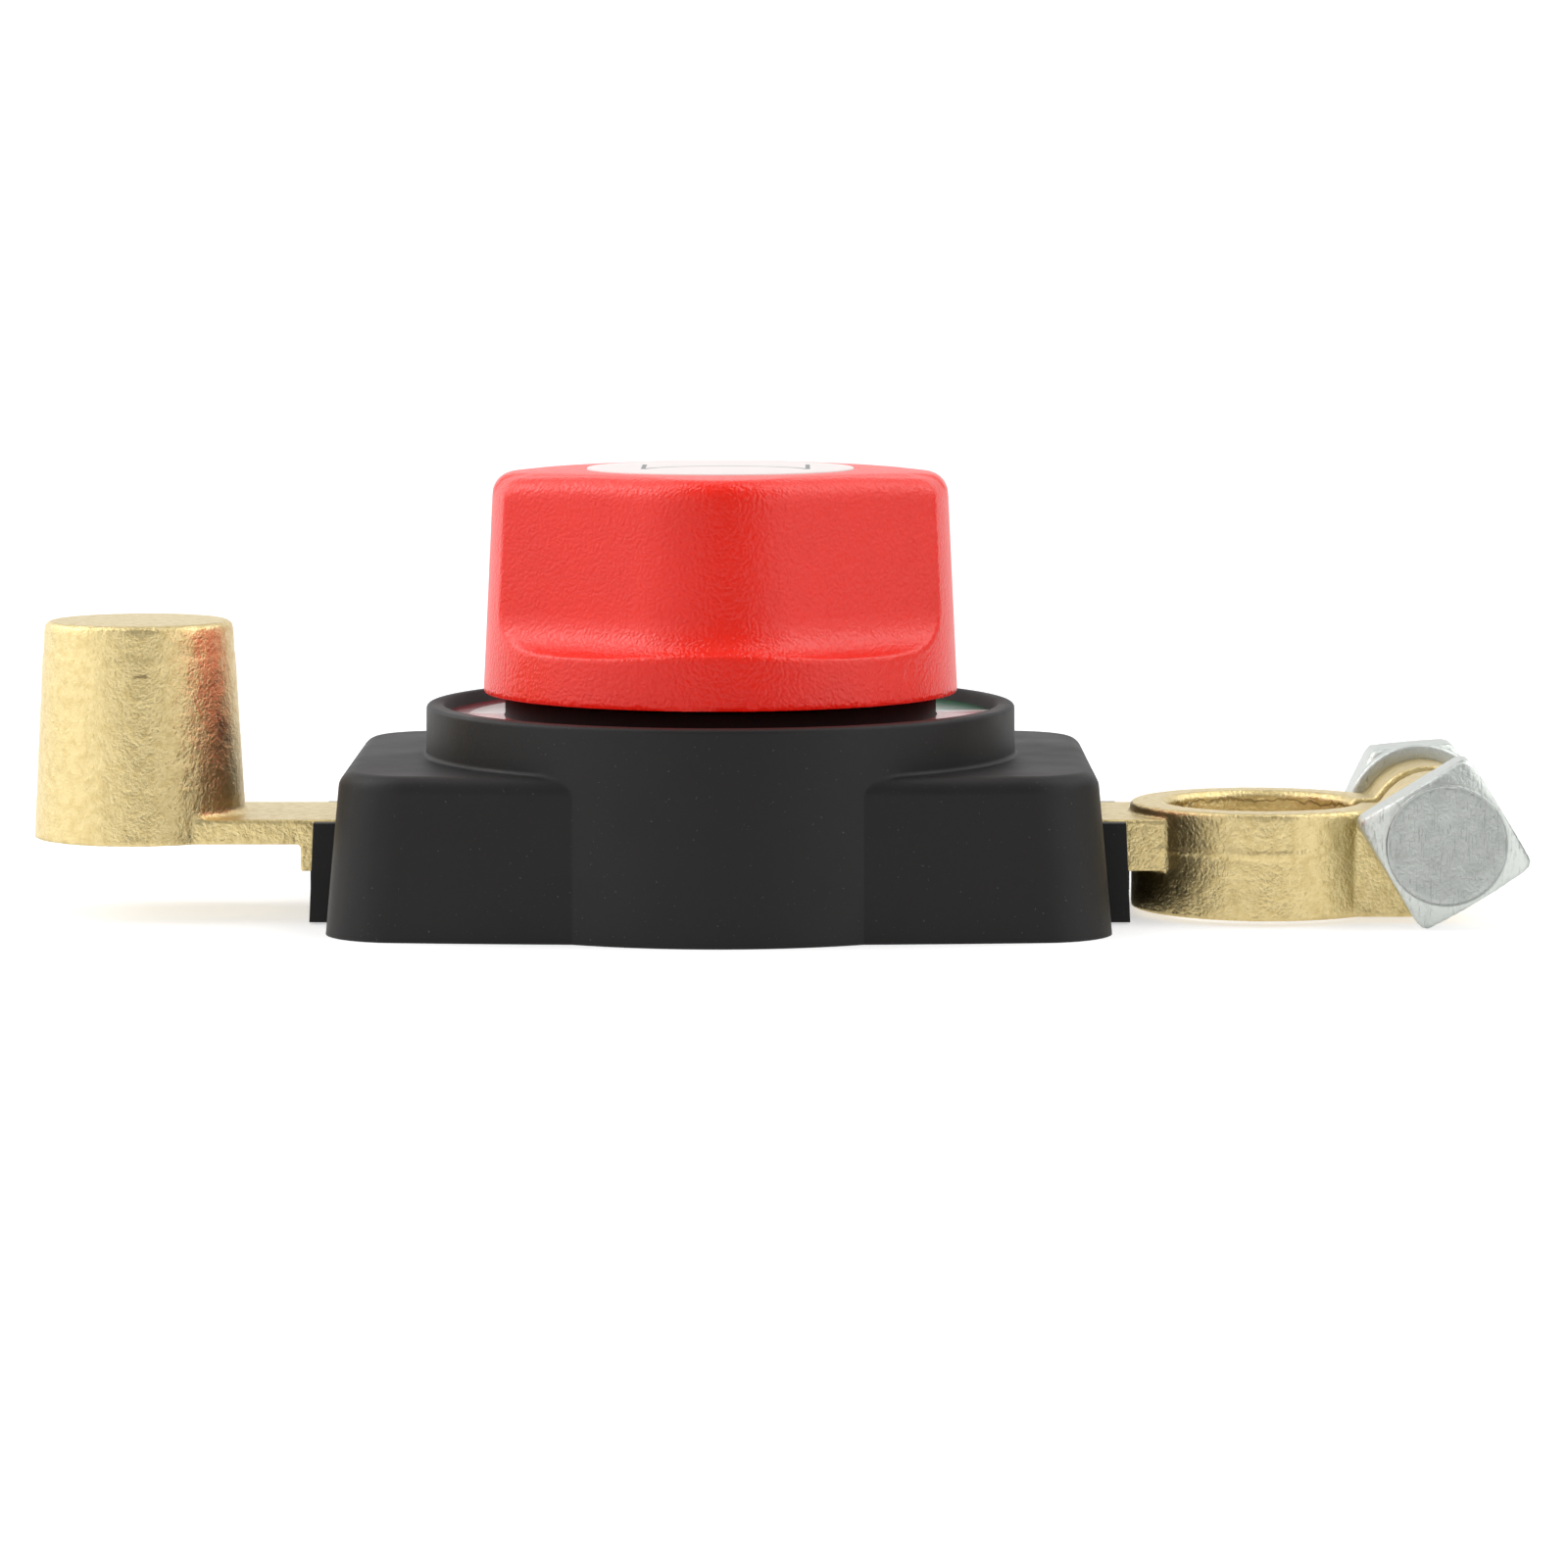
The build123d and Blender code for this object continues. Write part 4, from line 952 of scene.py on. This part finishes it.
class SWITCH_OT_fasteners(bpy.types.Operator):
    """Makes the clamp bolt with its thread, the washer and the nut, and plates the screws"""

    bl_idname = "switch_part.fasteners"
    bl_label = "Fasteners"

    segments = 96
    face_share = 0.96
    corner_cone = tan(radians(60))

    def execute(self, context):
        settings = context.scene.switch_metal
        zinc = zinc_plated_steel(settings)
        low, high = corners("clamp_nut")
        self.axis_x, self.axis_z = (low.x + high.x) / 2, (low.z + high.z) / 2
        self.build_bolt(settings, zinc)
        self.build_washer(zinc)
        self.build_nut(settings, zinc)
        for node_name in ("base_screws", "terminal_screws", "knob_screw", "knob_screw_washer"):
            dress(frame["nodes"][node_name], zinc)
        return {"FINISHED"}

    def ring(self, y, reach):
        """Points of a ring about the bolt axis; reach is the radius, or gives it for an angle."""
        points = []
        for turn in full_turn(self.segments):
            radius = reach(turn) if callable(reach) else reach
            points.append((self.axis_x + radius * cos(turn), y, self.axis_z + radius * sin(turn)))
        return points

    def thread_reach(self, y, pitch, crest, root):
        """Radius of a thread at this place along the axis, for each angle."""
        flank_start, flank_slope = 1.25, 2.7

        def reach(angle):
            phase = (y / pitch + angle / (2 * pi)) % 1
            rise = min(1.0, max(0.0, flank_start - flank_slope * abs(phase - 0.5)))
            return root + (crest - root) * rise

        return reach

    def head_reach(self, sides, apothem, turn, corner, depth, drop):
        """Radius of a turned head at this depth under its face, less the drop, for each angle."""
        face = apothem * self.face_share

        def reach(angle):
            polygon = polygon_reach(angle, sides, apothem, turn, corner)
            return min(polygon, face + self.corner_cone * depth) - drop

        return reach

    def build_bolt(self, settings, zinc):
        """Square head with turned-off corners, plain shank and threaded end."""
        low, high = corners("clamp_bolt")
        ear_front = -corners("clamp_washer")[0].y
        head_height = ear_front - low.y
        apothem = settings.head_width / MM / 2
        corner, dish_depth, groove_depth = 0.9, 0.1, 0.02
        face_shares, groove_shares = (0.15, 0.4, 0.65, 0.85, 0.915, 0.93, 0.95, 0.965), (0.93, 0.95)
        rings = []
        for share in face_shares:
            dish = dish_depth * (1 - share) + (groove_depth if share in groove_shares else 0.0)
            rings.append(self.ring(low.y + dish, apothem * self.face_share * share))
        depths = [0.0, 0.05, 0.14, 0.3, 0.5, 0.75, 1.0, 1.3, 1.6, 2.2, 3.2, 4.2]
        depths += [head_height - behind for behind in (0.35, 0.15, 0.03, 0.0)]
        edge_drop = {0.0: 0.25, 0.05: 0.1, 0.14: 0.03}
        back_edge, back_drop = 0.35, 0.3
        for depth in depths:
            tuck = back_drop * max(0.0, 1 - (head_height - depth) / back_edge) ** 2
            drop = edge_drop.get(depth, 0.0) + tuck
            reach = self.head_reach(4, apothem, settings.head_turn, corner, depth, drop)
            rings.append(self.ring(low.y + depth, reach))
        crest, root, neck, chamfer = 3.95, 3.3, 0.25, 0.9
        thread_start, steps_per_turn, run_in_turns = -6.0, 12, 2
        pitch = settings.thread_pitch / MM
        rings.append(self.ring(ear_front, crest + neck))
        rings.append(self.ring(ear_front + neck, crest))
        step_count = int((high.y - thread_start) / pitch * steps_per_turn)
        for index in range(step_count + 1):
            y = thread_start + (high.y - thread_start) * index / step_count
            form = self.thread_reach(y, pitch, crest, root)
            tip = crest - max(0.0, chamfer - (high.y - y))
            run_in = min(1.0, index / (run_in_turns * steps_per_turn))

            def reach(angle, form=form, tip=tip, run_in=run_in):
                return min(tip, crest + (form(angle) - crest) * run_in)

            rings.append(self.ring(y, reach))
        for share in (0.85, 0.5, 0.2):
            rings.append(self.ring(high.y, (crest - chamfer) * share))
        bolt = shell_mesh("clamp_bolt_threaded", rings, looped=False)
        placed(bolt, "housing", "zinc_steel", zinc, "clamp_bolt")

    def build_washer(self, zinc):
        """Punched washer with one rolled edge."""
        low, high = corners("clamp_washer")
        outer = (high.x - low.x) / 2
        inner, roll, break_edge, burr_edge = 4.25, 0.35, 0.15, 0.2
        profile = [(inner, low.y + break_edge), (inner + break_edge, low.y), (outer - roll, low.y)]
        for sine, cosine in quarter_turn(4, first=1):
            profile.append((outer - roll + roll * sine, low.y + roll - roll * cosine))
        profile += [(outer, high.y - burr_edge), (outer - break_edge, high.y)]
        profile += [(inner + burr_edge, high.y), (inner, high.y - break_edge)]
        rings = [self.ring(y, radius) for radius, y in profile]
        washer = shell_mesh("clamp_washer_punched", rings, looped=True)
        placed(washer, "housing", "zinc_steel", zinc, "clamp_washer")

    def build_nut(self, settings, zinc):
        """Hexagon nut with turned ends and its own thread."""
        low, high = corners("clamp_nut")
        apothem = settings.nut_width / MM / 2
        corner = 0.4
        turn = settings.nut_turn + pi / 2
        thickness = high.y - low.y
        depths = (0.0, 0.06, 0.15, 0.3, 0.5, 0.8, 1.2, 2.0)
        edge_drop = {0.0: 0.2, 0.06: 0.05}
        levels = list(depths) + [thickness / 2] + [thickness - depth for depth in reversed(depths)]
        rings = []
        for level in levels:
            depth = min(level, thickness - level)
            reach = self.head_reach(6, apothem, turn, corner, depth, edge_drop.get(depth, 0.0))
            rings.append(self.ring(low.y + level, reach))
        bore, clearance, thread_depth, mouth = 4.02, 0.03, 0.3, 0.45
        step_count = 60
        pitch = settings.thread_pitch / MM
        rings.append(self.ring(high.y, bore + mouth))
        for index in range(step_count + 1):
            y = high.y - thickness * index / step_count
            form = self.thread_reach(y, pitch, bore + clearance, bore + clearance + thread_depth)
            near_end = max(0.0, mouth - min(y - low.y, high.y - y))

            def reach(angle, form=form, near_end=near_end):
                return max(form(angle), bore + near_end)

            rings.append(self.ring(y, reach))
        nut = shell_mesh("clamp_nut_threaded", rings, looped=True)
        placed(nut, "housing", "zinc_steel", zinc, "clamp_nut")


class SWITCH_OT_inner_pieces(bpy.types.Operator):
    """Finishes the contacts, springs, spindle, seal and washers inside the housing"""

    bl_idname = "switch_part.inner_pieces"
    bl_label = "Inner pieces"

    def execute(self, context):
        silver = plain_metal("silver_faced_contact", linear("E6E6E2"), 0.2, 0.34, 0.5)
        copper = plain_metal("stamped_copper", linear("E8A684"), 0.28, 0.42, 0.8)
        steel = plain_metal("oiled_spring_steel", linear("8E9196"), 0.3, 0.45, 0.6)
        rubber = moulded_nylon("moulded_nitrile_rubber", linear("1C1C1D"), scuffed=0.6)
        nylon = moulded_nylon("natural_nylon", linear("E2DECF"), scuffed=0.6)
        finishes = {
            "post_contact": silver, "clamp_contact": silver, "bridge_tips": silver,
            "contact_bridge": copper, "contact_springs": steel, "retaining_clip": steel,
            "spindle": steel, "spindle_seal": rubber, "thrust_washer": nylon,
        }
        for node_name, material in finishes.items():
            dress(frame["nodes"][node_name], material)
        return {"FINISHED"}


class SWITCH_PT_panel(bpy.types.Panel):
    """Lists the switch's steps and sizes in the sidebar"""

    bl_label = "Battery disconnect switch"
    bl_idname = "SWITCH_PT_panel"
    bl_space_type = "VIEW_3D"
    bl_region_type = "UI"
    bl_category = "Switch"

    def draw(self, context):
        for step in STEPS:
            self.layout.operator(step.bl_idname)
        for group in (context.scene.switch_plastic, context.scene.switch_metal):
            box = self.layout.box()
            for name in group.bl_rna.properties.keys():
                if name not in ("name", "rna_type"):
                    box.prop(group, name)


STEPS = (
    SWITCH_OT_stage, SWITCH_OT_housing, SWITCH_OT_knob, SWITCH_OT_prints, SWITCH_OT_terminals,
    SWITCH_OT_fasteners, SWITCH_OT_inner_pieces,
)
GROUPS = {
    "switch_stage": SwitchStage, "switch_plastic": SwitchPlastic, "switch_print": SwitchPrint,
    "switch_metal": SwitchMetal,
}
CLASSES = (*GROUPS.values(), *STEPS, SWITCH_PT_panel)


def register():
    for item in CLASSES:
        bpy.utils.register_class(item)
    for name, group in GROUPS.items():
        setattr(bpy.types.Scene, name, PointerProperty(type=group))


def unregister():
    for name in GROUPS:
        delattr(bpy.types.Scene, name)
    for item in reversed(CLASSES):
        bpy.utils.unregister_class(item)


def main():
    """Builds the stage and every piece."""
    register()
    bpy.ops.switch_part.stage()
    bpy.ops.switch_part.housing()
    bpy.ops.switch_part.knob()
    bpy.ops.switch_part.prints()
    bpy.ops.switch_part.terminals()
    bpy.ops.switch_part.fasteners()
    bpy.ops.switch_part.inner_pieces()


if __name__ == "__main__":
    main()
